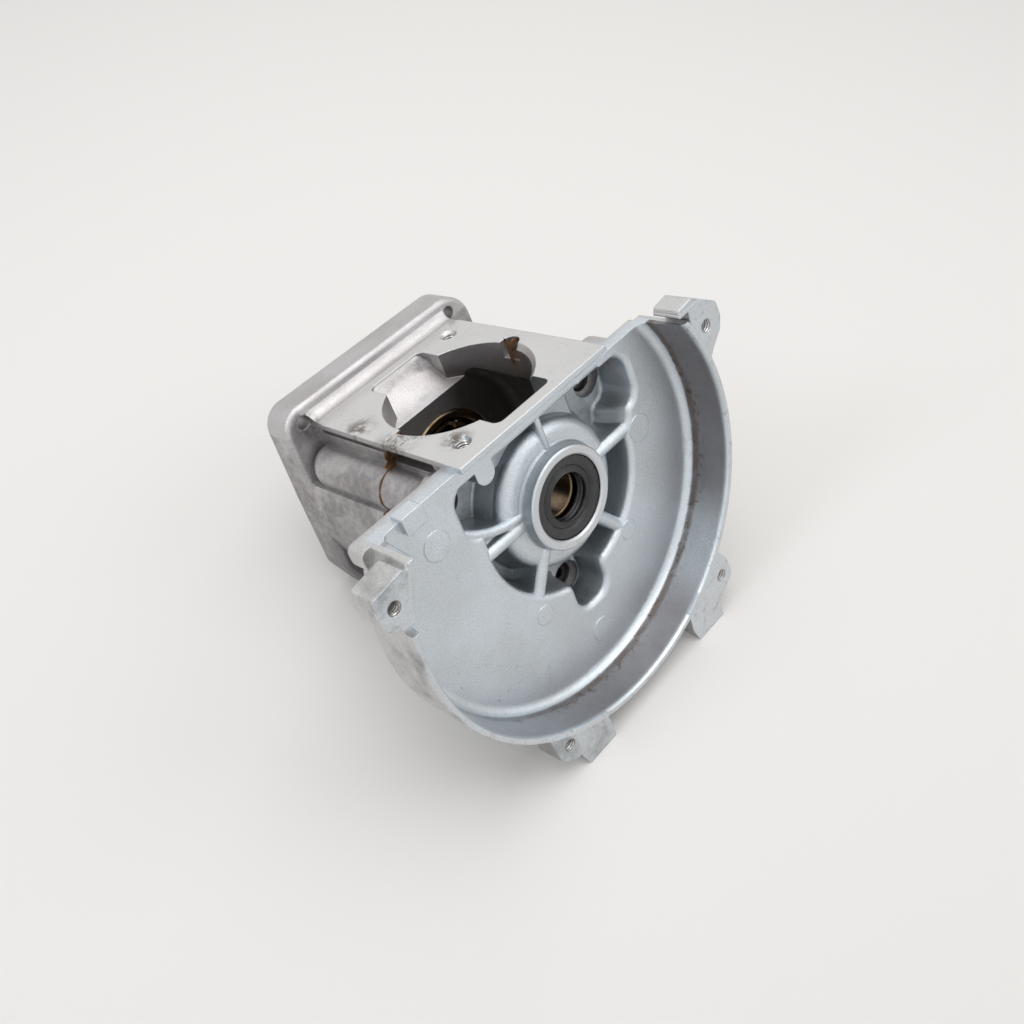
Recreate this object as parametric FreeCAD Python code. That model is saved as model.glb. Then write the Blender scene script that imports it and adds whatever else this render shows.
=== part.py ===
import FreeCAD, Part
import math
import os

# Engine crankcase of a small two-stroke engine, in millimetres.
# Origin on the crank axis in the plane of the fan-side seal boss.
# X across the case, Y along the crank towards the starter side, Z up along the cylinder.

V = FreeCAD.Vector
os.makedirs("parts", exist_ok=True)

# reach of a cut or plane that runs well past the part
far = 200.0

# crankshaft, bearings and seals
shaft_r = 8.5
bearing_r = 20.0
bearing_w = 12.0
pitch_r = 14.25
ball_r = 3.375
ball_count = 8
groove_r = 3.47
cage_r = pitch_r
cage_t = 1.3
cage_half = 3.9
ring_step = 2.65
ring_inner_r = pitch_r - ring_step
ring_outer_r = pitch_r + ring_step
ring_chamfer = 0.6
seal_r = 15.0
seal_w = 6.8
seal_inset = 1.1
seal_gap = 0.6
lip_r = shaft_r
spring_ring_r = 11.05
spring_wire_r = 0.55

# crankcase
chamber_half = 20.0
split_y = seal_inset + seal_w + seal_gap + bearing_w + chamber_half
gasket_t = 0.5
chamber_r = 36.0
chamber_round = 4.0
boss_r = 18.5
housing_r = 27.0
shoulder_y = 5.1
wall = 4.0
barrel_r = chamber_r + wall + 1.0

# cylinder seat on top
top_z = 38.5
plate_half = 35.3
plate_t = 2.2
block_half = 33.9
plate_front = 1.0
opening_r = 27.0
port_half = 13.0
port_reach = 34.5
port_foot_z = 27.0
rim_cone = 2.0
notch_x = 27.6
notch_r = 4.1
notch_depth = 6.5
seat_thread_r = 2.5
seat_thread_depth = 13.0
seat_holes = ((-24.5, split_y - 29.0), (25.5, split_y + 31.0))

# fan shroud pan
pan_x = -6.4
pan_z = -2.0
pan_inner_r = 73.8
pan_t = 2.7
pan_floor = 4.0
pan_floor_t = 3.5
rim_y = -14.0
pan_round = 3.5
pan_top = top_z - plate_t
pan_top_right = 34.0
edge_depth = 7.5
edge_t = 3.0
pan_left = pan_x - math.sqrt(pan_inner_r ** 2 - (pan_top - pan_z) ** 2) - 5.0
pan_right = pan_x + math.sqrt(pan_inner_r ** 2 - (pan_top_right - pan_z) ** 2) - 0.5

# pockets round the boss, with sloped walls
pocket_r = 35.4
pocket_floor = split_y - chamber_half - 3.0
pocket_top = 30.4
pocket_draft = 1.6
pocket_right = 45.5
pocket_left = -40.4
low_pocket_left = -9.6
low_pocket_right = 6.0
low_pocket_foot = -47.8
mouth_round = 2.4
corner_round = 3.2
floor_round = 1.4
nest_wall = 4.6
rib_dip = 0.3
rib_w = 5.2
top_rib_w = 2.4
shelf_y = 11.5
shelf_right = 22.0
shelf_left = 17.2
arm_w = 3.6
valley_r = 6.0
lobe_r = 8.3
spot_r = 6.2
spot_y = split_y - chamber_half - 0.2
screw_x = 36.3
screw_z = 20.8
low_screw_x = -1.5
low_screw_z = -41.5
seat_y = split_y - 13.5
seat_r = 4.6
screw_clear_r = 2.75
screw_r = 2.5
head_r = 4.25
head_h = 5.0
socket_af = 4.0
screw_end = split_y + 21.5

# dowels
dowel_r = 2.5
dowel_half_l = 6.0
dowel_x = 42.0
dowel_z = 3.0

# widened sides of the body
side_r = 48.5
side_top = 16.8
side_low = -14.0

# lugs and feet on the shroud
lug_t = 11.0
lug_hole_r = 2.5
lug_angles = (21.497, 158.683, 238.851, 307.158)
lug_out = (6.701, 7.353, 5.655, 9.640)
foot_z = pan_z - pan_inner_r - 9.2
foot_t = 12.0

# starter-side flange
flange_front = split_y + 43.5
flange_t = 13.0
flange_wall = 3.5
flange_hole_r = 2.6
flange_hole_x = 37.4
flange_hole_z = 39.2
flange_low_z = -38.0

front_y = split_y - gasket_t / 2
back_y = split_y + gasket_t / 2
wall_front = split_y - chamber_half
wall_back = split_y + chamber_half
bearing_front = wall_front - bearing_w
seal_back = seal_inset + seal_w
flange_back = flange_front + flange_t
rib_back = wall_back + 15.5
hollow_top = 21.0


def cyl(r, y0, y1, x=0.0, z=0.0):
    """Cylinder along Y between two planes."""
    return Part.makeCylinder(r, y1 - y0, V(x, y0, z), V(0, 1, 0))


def box(x0, x1, y0, y1, z0, z1):
    """Box from its limits."""
    return Part.makeBox(x1 - x0, y1 - y0, z1 - z0, V(x0, y0, z0))


def fuse(shapes):
    """One solid from several."""
    return shapes[0].multiFuse(shapes[1:]).removeSplitter()


def rounded(points, radii):
    """Closed outline in the XZ plane, each corner rounded by its own radius."""
    count = len(points)
    ends = []
    for i in range(count):
        p = V(points[i][0], 0, points[i][1])
        a = V(points[i - 1][0], 0, points[i - 1][1]) - p
        b = V(points[(i + 1) % count][0], 0, points[(i + 1) % count][1]) - p
        a.normalize()
        b.normalize()
        r = radii[i] if isinstance(radii, (list, tuple)) else radii
        if r <= 0:
            ends.append((p, None, p))
            continue
        half = a.getAngle(b) / 2
        run = r / math.tan(half)
        middle = a + b
        middle.normalize()
        mid = p + middle * (r / math.sin(half) - r)
        ends.append((p + a * run, mid, p + b * run))
    edges = []
    for i in range(count):
        first, mid, last = ends[i]
        if mid is not None:
            edges.append(Part.Arc(first, mid, last).toShape())
        start = ends[(i + 1) % count][0]
        if last.distanceToPoint(start) > 1e-6:
            edges.append(Part.makeLine(last, start))
    return Part.Wire(edges)


def plate(points, radii, y0, y1):
    """Flat piece of a rounded outline between two planes of Y."""
    face = Part.Face(rounded(points, radii))
    face.translate(V(0, y0, 0))
    solid = face.extrude(V(0, y1 - y0, 0))
    return solid


def rect(x0, x1, z0, z1, r, y0, y1):
    """Rounded rectangle between two planes of Y."""
    return plate([(x0, z0), (x1, z0), (x1, z1), (x0, z1)], r, y0, y1)


def turned(points, x=0.0, z=0.0):
    """Solid turned about a line along Y, from straight runs of radius and Y."""
    line = [V(r, y, 0) for r, y in points]
    face = Part.Face(Part.makePolygon(line + [line[0]]))
    solid = face.revolve(V(0, 0, 0), V(0, 1, 0), 360)
    solid.translate(V(x, 0, z))
    return solid


def ring_points(r0, r1, y0, y1, c):
    """Section of a plain ring with all four edges broken."""
    return [(r0 + c, y0), (r1 - c, y0), (r1, y0 + c), (r1, y1 - c),
            (r1 - c, y1), (r0 + c, y1), (r0, y1 - c), (r0, y0 + c)]


def round_edges(solid, radius, edges):
    """Round the given edges; the count of edges must not be nought."""
    if not edges:
        raise ValueError("no edges to round")
    return solid.makeFillet(radius, edges)


def rib(x0, z0, x1, z1, width, y0, y1):
    """Straight rib with a half-round crest, seen from the front as a bar."""
    length = math.hypot(x1 - x0, z1 - z0)
    half = width / 2
    crest = half * 0.8
    points = [V(0, y1, -half), V(0, y0 + crest, -half)]
    arc = Part.Arc(V(0, y0 + crest, -half), V(0, y0, 0), V(0, y0 + crest, half))
    edges = [Part.makeLine(points[0], points[1]), arc.toShape(),
             Part.makeLine(V(0, y0 + crest, half), V(0, y1, half)),
             Part.makeLine(V(0, y1, half), V(0, y1, -half))]
    solid = Part.Face(Part.Wire(edges)).extrude(V(length, 0, 0))
    solid.rotate(V(0, 0, 0), V(0, 1, 0), -math.degrees(math.atan2(z1 - z0, x1 - x0)))
    solid.translate(V(x0, 0, z0))
    return solid


def body_core(y0, y1):
    """Outer body shared by both halves: barrel, wider sides and upper block."""
    below = box(-60, 60, y0, y1, -60, top_z - plate_t)
    barrel = cyl(barrel_r, y0, y1).common(below)
    block = box(-block_half, block_half, y0, y1, 10.0, top_z - plate_t)
    sides = cyl(side_r, y0, y1).common(box(-60, 60, y0, y1, side_low, side_top))
    return [barrel, block, sides]


def lobes(y0, y1):
    """Screw bosses that run along the body."""
    places = ((-screw_x, screw_z), (screw_x, screw_z), (low_screw_x, low_screw_z))
    return [cyl(lobe_r, y0, y1, x, z) for x, z in places]


def screw_places():
    """Centres of the three case screws."""
    return ((-screw_x, screw_z), (screw_x, screw_z), (low_screw_x, low_screw_z))


def opening_plan(z0, z1):
    """Plan of the cylinder opening: the spigot hole with a transfer slot on each side."""
    hole = Part.makeCylinder(opening_r, z1 - z0, V(0, split_y, z0))
    far = port_reach
    slot = box(-port_half, port_half, split_y - far, split_y + far, z0, z1)
    corners = [e for e in slot.Edges if e.BoundBox.XLength < 1e-6 and e.BoundBox.YLength < 1e-6]
    return fuse([hole, round_edges(slot, 3.0, corners)])


def mouth():
    """Cut of the cylinder opening, with a hollow ramp from each end wall up to the slot's end."""
    far = port_reach
    low = 20.0
    high = top_z + 1

    def at(side, out, z):
        return V(-40, split_y + side * out, z)

    def ramp(side):
        middle = at(side, (chamber_half + far) / 2 + 1.6, (port_foot_z + top_z) / 2 - 1.2)
        return Part.Arc(at(side, chamber_half, port_foot_z), middle, at(side, far + 0.3, top_z)).toShape()

    edges = [Part.makeLine(at(-1, chamber_half, low), at(1, chamber_half, low)),
             Part.makeLine(at(1, chamber_half, low), at(1, chamber_half, port_foot_z)),
             ramp(1),
             Part.makeLine(at(1, far + 0.3, top_z), at(1, far + 0.3, high)),
             Part.makeLine(at(1, far + 0.3, high), at(-1, far + 0.3, high)),
             Part.makeLine(at(-1, far + 0.3, high), at(-1, far + 0.3, top_z)),
             ramp(-1),
             Part.makeLine(at(-1, chamber_half, port_foot_z), at(-1, chamber_half, low))]
    side = Part.Face(Part.Wire(Part.sortEdges(edges)[0])).extrude(V(80, 0, 0))
    return side.common(opening_plan(low, high))


def rim_cone_cut():
    """Chamfer round the spigot hole on the fan side of the split line."""
    cone = Part.makeCone(opening_r - 0.2, opening_r + rim_cone, rim_cone + 0.2,
                         V(0, split_y, top_z - rim_cone - 0.2))
    return cone.common(box(-40, 40, 0, split_y, top_z - 5, top_z + 1))


def chamber(y0, y1, closed_end):
    """Crank chamber with a rounded corner at its closed end."""
    solid = cyl(chamber_r, y0, y1)
    rim = [e for e in solid.Edges if e.Curve.TypeId == "Part::GeomCircle"
           and abs(e.BoundBox.Center.y - closed_end) < 1e-6]
    return round_edges(solid, chamber_round, rim)


def tapered(low, high, r, draft, y0, y1):
    """Rounded rectangle that narrows towards the back; low and high are its corners at the front."""
    def outline(d, y):
        points = [(low[0] + d[0], low[1] + d[2]), (high[0] - d[1], low[1] + d[2]),
                  (high[0] - d[1], high[1] - d[3]), (low[0] + d[0], high[1] - d[3])]
        wire = rounded(points, r)
        wire.translate(V(0, y, 0))
        return wire

    return Part.makeLoft([outline([0, 0, 0, 0], y0), outline(draft, y1)], True, True)


def pocket_field(y0, y1):
    """All pockets round the boss as one tool with sloped walls."""
    d = pocket_draft
    bowl = Part.makeCone(pocket_r, pocket_r - d, y1 - y0, V(0, y0, 0), V(0, 1, 0))
    bowl = bowl.cut(box(-far, far, y0 - 1, y1 + 1, pocket_top, far))
    right = tapered((10, 9), (pocket_right, pocket_top), [0, 6.0, 9.0, 0], [0, 3.2, 1, 0], y0, y1)
    lower = tapered((10, 3), (pocket_right - 6.0, 16), [0, 5.0, 5.0, 0], [0, 5.0, 0, 0], y0, y1)
    left = tapered((pocket_left, 11), (-10, pocket_top), [5.5, 0, 0, 6.5], [3.0, 0, 0, 0], y0, y1)
    low = tapered((low_pocket_left, low_pocket_foot), (low_pocket_right, -20), 5.8, [1.5, 2.0, 1.5, 0], y0, y1)
    return fuse([bowl, right, lower, left, low])


def field_plan(grow, y0, y1):
    """Plan that covers all pockets with a margin."""
    g = grow
    top = min(pocket_top + g, pan_top)
    disc = cyl(pocket_r + g, y0, y1).cut(box(-far, far, y0 - 1, y1 + 1, top, far))
    right = rect(18, pocket_right + g, 2 - g, min(pocket_top - 0.9 + g, top), 6.0 + g / 2, y0, y1)
    left = rect(pocket_left - g, -18, 8 - g, min(pocket_top - 1.9 + g, top), 5.5 + g / 2, y0, y1)
    foot = low_pocket_foot - g
    low = rect(low_pocket_left - g, low_pocket_right + g, foot, -20, [6.5 + g, 6.5 + g, 0, 0], y0, y1)
    return fuse([disc, right, left, low])


def spokes():
    """Ribs with round crests from the boss to the edge of the pockets."""
    y0, y1 = pan_floor + rib_dip, pocket_floor + 1
    end = pocket_r + mouth_round - 0.2
    made = []
    for angle, x, z, width in ((178.0, 0, 0, rib_w), (0.0, 0, 1.6, rib_w), (235.4, -4.2, 0, rib_w),
                               (306.4, -2.0, 0, rib_w)):
        a = math.radians(angle)
        made.append(rib(x + 9 * math.cos(a), z + 9 * math.sin(a), x + end * math.cos(a), z + end * math.sin(a),
                        width, y0, y1))
    made.append(rib(1.2, 15, 1.2, pocket_top + mouth_round - 0.2, top_rib_w, y0, y1))
    return made


def turn_at(solid, edge):
    """Angle in degrees between the two faces that meet at an edge."""
    point = edge.valueAt((edge.FirstParameter + edge.LastParameter) / 2)
    normals = []
    for face in solid.ancestorsOfType(edge, Part.Face):
        u, v = face.Surface.parameter(point)
        normals.append(face.normalAt(u, v))
    if len(normals) != 2:
        return 0.0
    return math.degrees(normals[0].getAngle(normals[1]))


def soften(solid, radius):
    """Round the sharp corners that run from front to back."""
    upright = []
    for e in solid.Edges:
        a, b = e.Vertexes[0].Point, e.Vertexes[-1].Point
        if abs(a.y - b.y) > 3 and turn_at(solid, e) > 12:
            upright.append(e)
    return round_edges(solid, radius, upright)


def arm():
    """Curved rib that closes the left pocket from below."""
    path = Part.Arc(V(-42.5, 0, 16.4), V(-31.5, 0, 8.4), V(-17.0, 0, 4.4)).toShape().Curve
    x, z, r = path.Center.x, path.Center.z, path.Radius
    half = arm_w / 2
    y0, y1 = pan_floor + rib_dip, pocket_floor + 1
    crest = y0 + half * 0.8
    edges = [Part.makeLine(V(r - half, y1, 0), V(r - half, crest, 0)),
             Part.Arc(V(r - half, crest, 0), V(r, y0, 0), V(r + half, crest, 0)).toShape(),
             Part.makeLine(V(r + half, crest, 0), V(r + half, y1, 0)),
             Part.makeLine(V(r + half, y1, 0), V(r - half, y1, 0))]
    ring = Part.Face(Part.Wire(edges)).revolve(V(0, 0, 0), V(0, 1, 0), 360)
    ring.translate(V(x, 0, z))
    return ring.common(box(-42.0, -17, -10, 60, 2.0, 17.0))


def valley():
    """Low web between the curved rib and the left rib, hollowed along its length."""
    top = pan_floor + 1.8
    web = plate([(-40.0, 13.0), (-39.0, 1.6), (-20.0, 1.6), (-20.0, 5.0), (-31.0, 8.4)], 0, top, pocket_floor + 1)
    way = V(20.0, 0, -7.0)
    hollow = Part.makeCylinder(valley_r, 44, V(-50.0, top + 2.6 - valley_r, 12.4), way)
    return web.cut(hollow).common(cyl(pocket_r + 1.0, 0, far))


def pads():
    """Mould-pin pad that hangs from the seat over the left pocket."""
    y0, y1 = pan_floor, pocket_floor + 1
    return [cyl(3.9, y0, y1, -25.5, 28.7), box(-29.4, -21.6, y0, y1, 28.7, pan_top)]


def shelf():
    """Raised floor between the boss and the cylinder seat."""
    block = box(-shelf_left, shelf_right, shelf_y, front_y, 6.0, pan_top)
    edges = [e for e in block.Edges if e.BoundBox.YMax < shelf_y + 1e-4 and e.BoundBox.XLength < 1e-4]
    return round_edges(block, 2.0, edges)


def nest():
    """Sunken field round the boss with soft mouths and corners."""
    back = pocket_floor + wall
    field = soften(pocket_field(pan_floor, pocket_floor), corner_round)
    end = [e for e in field.Edges if e.BoundBox.YMin > pocket_floor - 1e-4]
    field = round_edges(field, floor_round, end)
    slab = box(-75, 75, pan_floor, back, -75, 50).cut(field)
    rim = [e for e in slab.Edges if abs(e.BoundBox.YMin - pan_floor) < 1e-5
           and abs(e.BoundBox.YMax - pan_floor) < 1e-5 and e.BoundBox.XMax < 70 and e.BoundBox.XMin > -70
           and e.BoundBox.ZMin > -70 and e.BoundBox.ZMax < 45]
    slab = round_edges(slab, mouth_round, rim)
    return slab.common(field_plan(nest_wall, pan_floor, back))


def pan_wall():
    """Shroud wall and its inner corner, turned about the centre of the shroud."""
    outer = pan_inner_r + pan_t
    foot = pan_inner_r - 1.1
    back = pan_floor + pan_floor_t
    top = Part.Arc(V(foot, pan_floor - pan_round, 0),
                   V(foot - pan_round * 0.293, pan_floor - pan_round * 0.293, 0),
                   V(foot - pan_round, pan_floor, 0)).toShape()
    corner = [V(foot - pan_round, pan_floor, 0), V(foot - pan_round, back, 0),
              V(outer - 0.6, back, 0), V(outer, rim_y + 1, 0), V(outer - 0.5, rim_y, 0),
              V(pan_inner_r + 0.5, rim_y, 0), V(pan_inner_r, rim_y + 1, 0),
              V(foot, pan_floor - pan_round, 0)]
    edges = [Part.makeLine(corner[i], corner[i + 1]) for i in range(len(corner) - 1)]
    face = Part.Face(Part.Wire([top] + edges))
    solid = face.revolve(V(0, 0, 0), V(0, 1, 0), 360)
    solid.translate(V(pan_x, 0, pan_z))
    return solid


def pan_inside():
    """Clear space inside the shroud wall."""
    foot = pan_inner_r - 1.1
    return turned([(0, rim_y - 2), (pan_inner_r, rim_y - 2), (pan_inner_r, rim_y + 1),
                   (foot, pan_floor - pan_round), (foot, pan_floor), (0, pan_floor)], pan_x, pan_z)


def polar(angle, r):
    """Point at an angle and radius about the centre of the shroud."""
    a = math.radians(angle)
    return (pan_x + r * math.cos(a), pan_z + r * math.sin(a))


def lug_place(index):
    """Centre of a lug's hole, outside the shroud wall."""
    return polar(lug_angles[index], pan_inner_r + lug_out[index])


def about(index, offsets):
    """Points given as offsets from a lug's hole."""
    x, z = lug_place(index)
    return [(x + dx, z + dz) for dx, dz in offsets]


def lug_right_top():
    """Upper right lug with its wide root on the wall."""
    points = about(0, [(-6.7, 2.5), (-6.7, 9.8), (-12.1, 9.6), (-10.9, 12.5), (-4.0, 13.3), (7.3, 5.7),
                       (8.3, -0.5), (6.5, -5.0), (1.1, -9.5)])
    points += [polar(13, pan_inner_r + 1.5), polar(22, pan_inner_r + 0.4)]
    return plate(points, [0, 1.0, 0.5, 0.5, 2.0, 2.5, 3.0, 3.0, 3.0, 0, 0], rim_y, rim_y + lug_t)


def lug_left():
    """Upper left lug beside the open end of the wall."""
    points = about(1, [(-5.0, 6.8), (-6.0, 1.0), (-5.2, -5.0), (-0.3, -8.5), (3.5, -9.3), (7.0, -1.5),
                       (10.2, 6.0), (7.4, 8.5)])
    return plate(points, [1.0, 3.0, 2.5, 1.5, 1.0, 0, 0.8, 0.8], rim_y, rim_y + lug_t)


def left_block():
    """Rounded block at the left end of the deep top edge, with a small blind hole."""
    deep = pan_floor + edge_depth
    block = rect(pan_left - 1.5, pan_left + 10, pan_top - 9, pan_top, [4, 0, 0, 2.5], pan_floor, deep)
    pit = Part.makeCylinder(1.2, 3.0, V(pan_left + 4, pan_floor + edge_depth / 2, pan_top - 3.0))
    return block.cut(pit)


def lug_low_left():
    """Lower left lug."""
    points = [polar(230, pan_inner_r + 1)]
    points += about(2, [(-6.0, 3.0), (-5.5, -3.5), (0.5, -8.0), (7.5, -8.0)])
    points.append(polar(246, pan_inner_r + 1))
    return plate(points, [0, 2.5, 2.5, 2.0, 0, 0], rim_y, rim_y + lug_t)


def lug_low_right():
    """Lower right lug."""
    points = [polar(299, pan_inner_r + 1)]
    points += about(3, [(-4.0, -8.0), (1.0, -6.5), (5.8, -3.0), (5.0, 5.0)])
    points.append(polar(313, pan_inner_r + 1))
    return plate(points, [0, 0, 2.0, 3.0, 3.0, 0], rim_y, rim_y + lug_t)


def foot(x0, x1, notch):
    """Foot block under the shroud with a vee beside it."""
    block = rect(x0, x1, foot_z, foot_z + 19.0, 0.6, rim_y, rim_y + foot_t)
    points = [(notch - 3.2, foot_z - 1), (notch + 3.2, foot_z - 1), (notch, foot_z + 9.0)]
    vee = plate(points, 0, rim_y - 1, rim_y + foot_t + 1)
    return block.cut(vee)


def lug_holes():
    """Threaded holes of the four lugs."""
    return [lug_place(i) for i in range(len(lug_angles))]


def seal_boss():
    """Turned nose round the seal, and the round shoulder and flared side of the bearing housing."""
    nose = boss_r + 0.3
    start = nose + 1.4
    flat = housing_r - 4.8
    bulge = shoulder_y + 0.2
    side = bulge + 4.8
    foot = housing_r + 2.2
    low = pocket_floor - 1.2
    edges = [Part.makeLine(V(10, 0, 0), V(boss_r - 0.5, 0, 0)),
             Part.makeLine(V(boss_r - 0.5, 0, 0), V(boss_r, 0.5, 0)),
             Part.makeLine(V(boss_r, 0.5, 0), V(nose, shoulder_y - 1.2, 0)),
             Part.Arc(V(nose, shoulder_y - 1.2, 0), V(nose + 0.35, shoulder_y - 0.3, 0),
                      V(start, shoulder_y, 0)).toShape(),
             Part.makeLine(V(start, shoulder_y, 0), V(flat, bulge, 0)),
             Part.Arc(V(flat, bulge, 0), V(flat + 3.39, bulge + 1.41, 0), V(housing_r, side, 0)).toShape(),
             Part.makeLine(V(housing_r, side, 0), V(foot, low, 0)),
             Part.Arc(V(foot, low, 0), V(foot + 0.4, low + 0.9, 0), V(foot + 1.3, pocket_floor + 0.1, 0)).toShape(),
             Part.makeLine(V(foot + 1.3, pocket_floor + 0.1, 0), V(foot + 1.3, wall_front, 0)),
             Part.makeLine(V(foot + 1.3, wall_front, 0), V(10, wall_front, 0)),
             Part.makeLine(V(10, wall_front, 0), V(10, 0, 0))]
    return Part.Face(Part.Wire(edges)).revolve(V(0, 0, 0), V(0, 1, 0), 360)


def crank_bore():
    """Stepped bore: seal seat, lip and bearing seat, on the fan side."""
    lead = 0.7
    return turned([(0, -1), (seal_r + lead, -1), (seal_r + lead, 0), (seal_r, lead), (seal_r, seal_back),
                   (seal_r - 2, seal_back), (seal_r - 2, bearing_front), (bearing_r, bearing_front),
                   (bearing_r, wall_front - 0.6), (bearing_r + 0.6, wall_front + 0.01),
                   (bearing_r + 0.6, wall_front + 5), (0, wall_front + 5)])


def floor_plate():
    """Flat floor of the shroud with its straight top edge."""
    back = pan_floor + pan_floor_t
    disc = cyl(pan_inner_r, pan_floor, back, pan_x, pan_z)
    disc = disc.cut(shroud_top()).cut(field_plan(mouth_round + 0.4, pan_floor - 1, back + 1))
    return disc


def shroud_top():
    """Space above the cut edge of the shroud, lower on the right of the seat."""
    left = box(-far, 0, -far, far, pan_top, far)
    right = box(0, far, -far, far, pan_top_right, far)
    return left.fuse(right)


def pan_edges():
    """Deep top edge of the shroud on both sides of the cylinder seat."""
    low = pan_top - edge_t
    deep = pan_floor + edge_depth
    left = rect(pan_left, -block_half + 2, low, pan_top, 0.8, pan_floor, deep)
    shift = pan_top - pan_top_right
    right = rect(block_half - 2, pan_right, low - shift, pan_top_right, 0.8, pan_floor, deep - 2.0)
    return [left, right]


def ejector_marks():
    """Low round pads left by the mould pins."""
    places = ((-52.0, 20.0, 5.2), (42.0, -1.0, 5.2), (-25.0, -34.5, 3.8), (-4.0, -60.5, 4.8), (22.5, -33.5, 3.8))
    return [cyl(r, pan_floor - 0.25, pan_floor + 1, x, z) for x, z, r in places]


def make_front_case():
    """Fan-side half of the crankcase with the shroud, one casting."""
    back = pan_floor + pan_floor_t
    clear = field_plan(1.0, pan_floor - 5, pocket_floor + 1)
    body = fuse(body_core(back - 1, front_y) + lobes(back, front_y)).cut(clear)
    solids = [floor_plate(), body, nest(), seal_boss(), shelf(), arm(), valley()] + spokes() + pads()
    wall_x = polar(165.4, pan_inner_r)[0]
    notch = rect(wall_x - 4.2, wall_x + 7.3, 14.6, 18.6, 0.8, rim_y - 1, rim_y + 4)
    solids.append(pan_wall().cut(shroud_top()).cut(notch))
    solids += pan_edges()
    solids += ejector_marks()
    soft = pan_floor + mouth_round + 0.2
    solids.append(box(-block_half, block_half, soft, front_y, pocket_top + 0.4, pan_top))
    solids.append(box(-plate_half, plate_half, plate_front, front_y, top_z - plate_t, top_z))
    outside = [lug_right_top(), lug_left(), left_block(), lug_low_left(), lug_low_right()]
    outside += [foot(-44.5, -28.0, -45.5), foot(22.5, 39.5, 21.5)]
    solids += [piece.cut(pan_inside()) for piece in outside]
    solids.append(rect(-60.6, -52.0, 31.5, top_z - 0.4, 0.8, pan_floor - 2.6, pan_floor + 3))
    case = fuse(solids)
    cuts = [crank_bore(), chamber(wall_front, front_y + 1, wall_front), mouth(), rim_cone_cut()]
    for x, z in screw_places():
        cuts.append(cyl(spot_r, pocket_floor - 0.5, spot_y, x, z))
        cuts.append(cyl(seat_r, pocket_floor - 1, seat_y, x, z))
        cuts.append(cyl(screw_clear_r, seat_y - 1, front_y + 1, x, z))
    for x, z in lug_holes():
        cuts.append(cyl(lug_hole_r, rim_y - 1, rim_y + lug_t + 8, x, z))
    for side in (-1, 1):
        cuts.append(cyl(dowel_r, front_y - dowel_half_l - 0.5, front_y + 1, side * dowel_x, dowel_z))
        cuts.append(side_slot(side, 18.0, front_y + 1, 27.5, 30.5))
    cuts += seat_cuts(0)
    return case.cut(fuse_all(cuts))


def fuse_all(shapes):
    """Compound of cutting bodies as one tool."""
    return shapes[0].multiFuse(shapes[1:])


def side_slot(side, y0, y1, deep_x, low_z):
    """Undercut below the overhanging seat plate."""
    high = top_z - plate_t
    if side > 0:
        return rect(deep_x, 60, low_z, high, [1.5, 0, 0, 0.3], y0, y1)
    return rect(-60, -deep_x, low_z, high, [0, 1.5, 0.3, 0], y0, y1)


def seat_cuts(index):
    """Threaded hole of the cylinder seat with its countersink, and the notch at the split line."""
    x, y = seat_holes[index]
    hole = Part.makeCylinder(seat_thread_r, seat_thread_depth, V(x, y, top_z - seat_thread_depth))
    sink = Part.makeCone(seat_thread_r, seat_thread_r + 1.0, 1.0, V(x, y, top_z - 1.0))
    notch = Part.makeCylinder(notch_r, notch_depth + 1, V(notch_x, split_y, top_z - notch_depth))
    return [hole, sink, notch]


def flange_outline(offset):
    """Six-sided outline of the starter flange, shrunk by an offset."""
    o = offset
    corners = [(-44.8 + o, 45.2 - o), (-47.5 + o, 10.0), (-49.2 + o, -22.0), (-40.0 + o, flange_low_z - 7 + o),
               (40.0 - o, flange_low_z - 7 + o), (49.2 - o, -22.0), (48.2 - o, 10.0), (47.2 - o, 45.2 - o)]
    big = max(1.0, 9.0 - o)
    return corners, [big, 20.0, big, big, big, big, 20.0, big + 3.0]


def flange_holes():
    """Centres of the four corner holes of the starter flange."""
    low = flange_low_z + 1.0
    return ((-flange_hole_x, flange_hole_z), (flange_hole_x, flange_hole_z),
            (flange_hole_x, low), (-flange_hole_x, low))


def make_flange():
    """Hollow starter flange, open to the back, with corner screw bosses."""
    outer, radii = flange_outline(0.0)
    body = plate(outer, radii, flange_front, flange_back)
    front = [e for e in body.Edges if e.BoundBox.YMax < flange_front + 1e-4]
    body = round_edges(body, 2.0, front)
    inner, inner_radii = flange_outline(flange_wall)
    body = body.cut(plate(inner, inner_radii, flange_front + 4.0, flange_back + 1))
    bosses = [cyl(5.6, flange_front + 2, flange_back, x * 0.985, z * 0.985) for x, z in flange_holes()]
    limit = plate(outer, radii, flange_front, flange_back)
    return body.fuse([b.common(limit) for b in bosses])


def flange_ramp():
    """Hollow curve that lifts the seat plate into the flange."""
    r = 5.5
    z0 = top_z
    y0 = flange_front - r + 0.5
    arc = Part.Arc(V(0, y0, z0), V(0, y0 + r * 0.7071, z0 + r * 0.2929), V(0, y0 + r, z0 + r))
    edges = [arc.toShape(), Part.makeLine(V(0, y0 + r, z0 + r), V(0, y0 + r + 2.5, z0 + r)),
             Part.makeLine(V(0, y0 + r + 2.5, z0 + r), V(0, y0 + r + 2.5, z0 - plate_t)),
             Part.makeLine(V(0, y0 + r + 2.5, z0 - plate_t), V(0, y0, z0 - plate_t)),
             Part.makeLine(V(0, y0, z0 - plate_t), V(0, y0, z0))]
    face = Part.Face(Part.Wire(edges))
    face.translate(V(-plate_half, 0, 0))
    return face.extrude(V(2 * plate_half, 0, 0))


def round_end_lobe(x, z, y0, y1):
    """Screw boss that ends in a rounded nose."""
    solid = cyl(lobe_r, y0, y1, x, z)
    rim = [e for e in solid.Edges if e.Curve.TypeId == "Part::GeomCircle"
           and abs(e.BoundBox.Center.y - y1) < 1e-6]
    return round_edges(solid, 5.0, rim)


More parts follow.
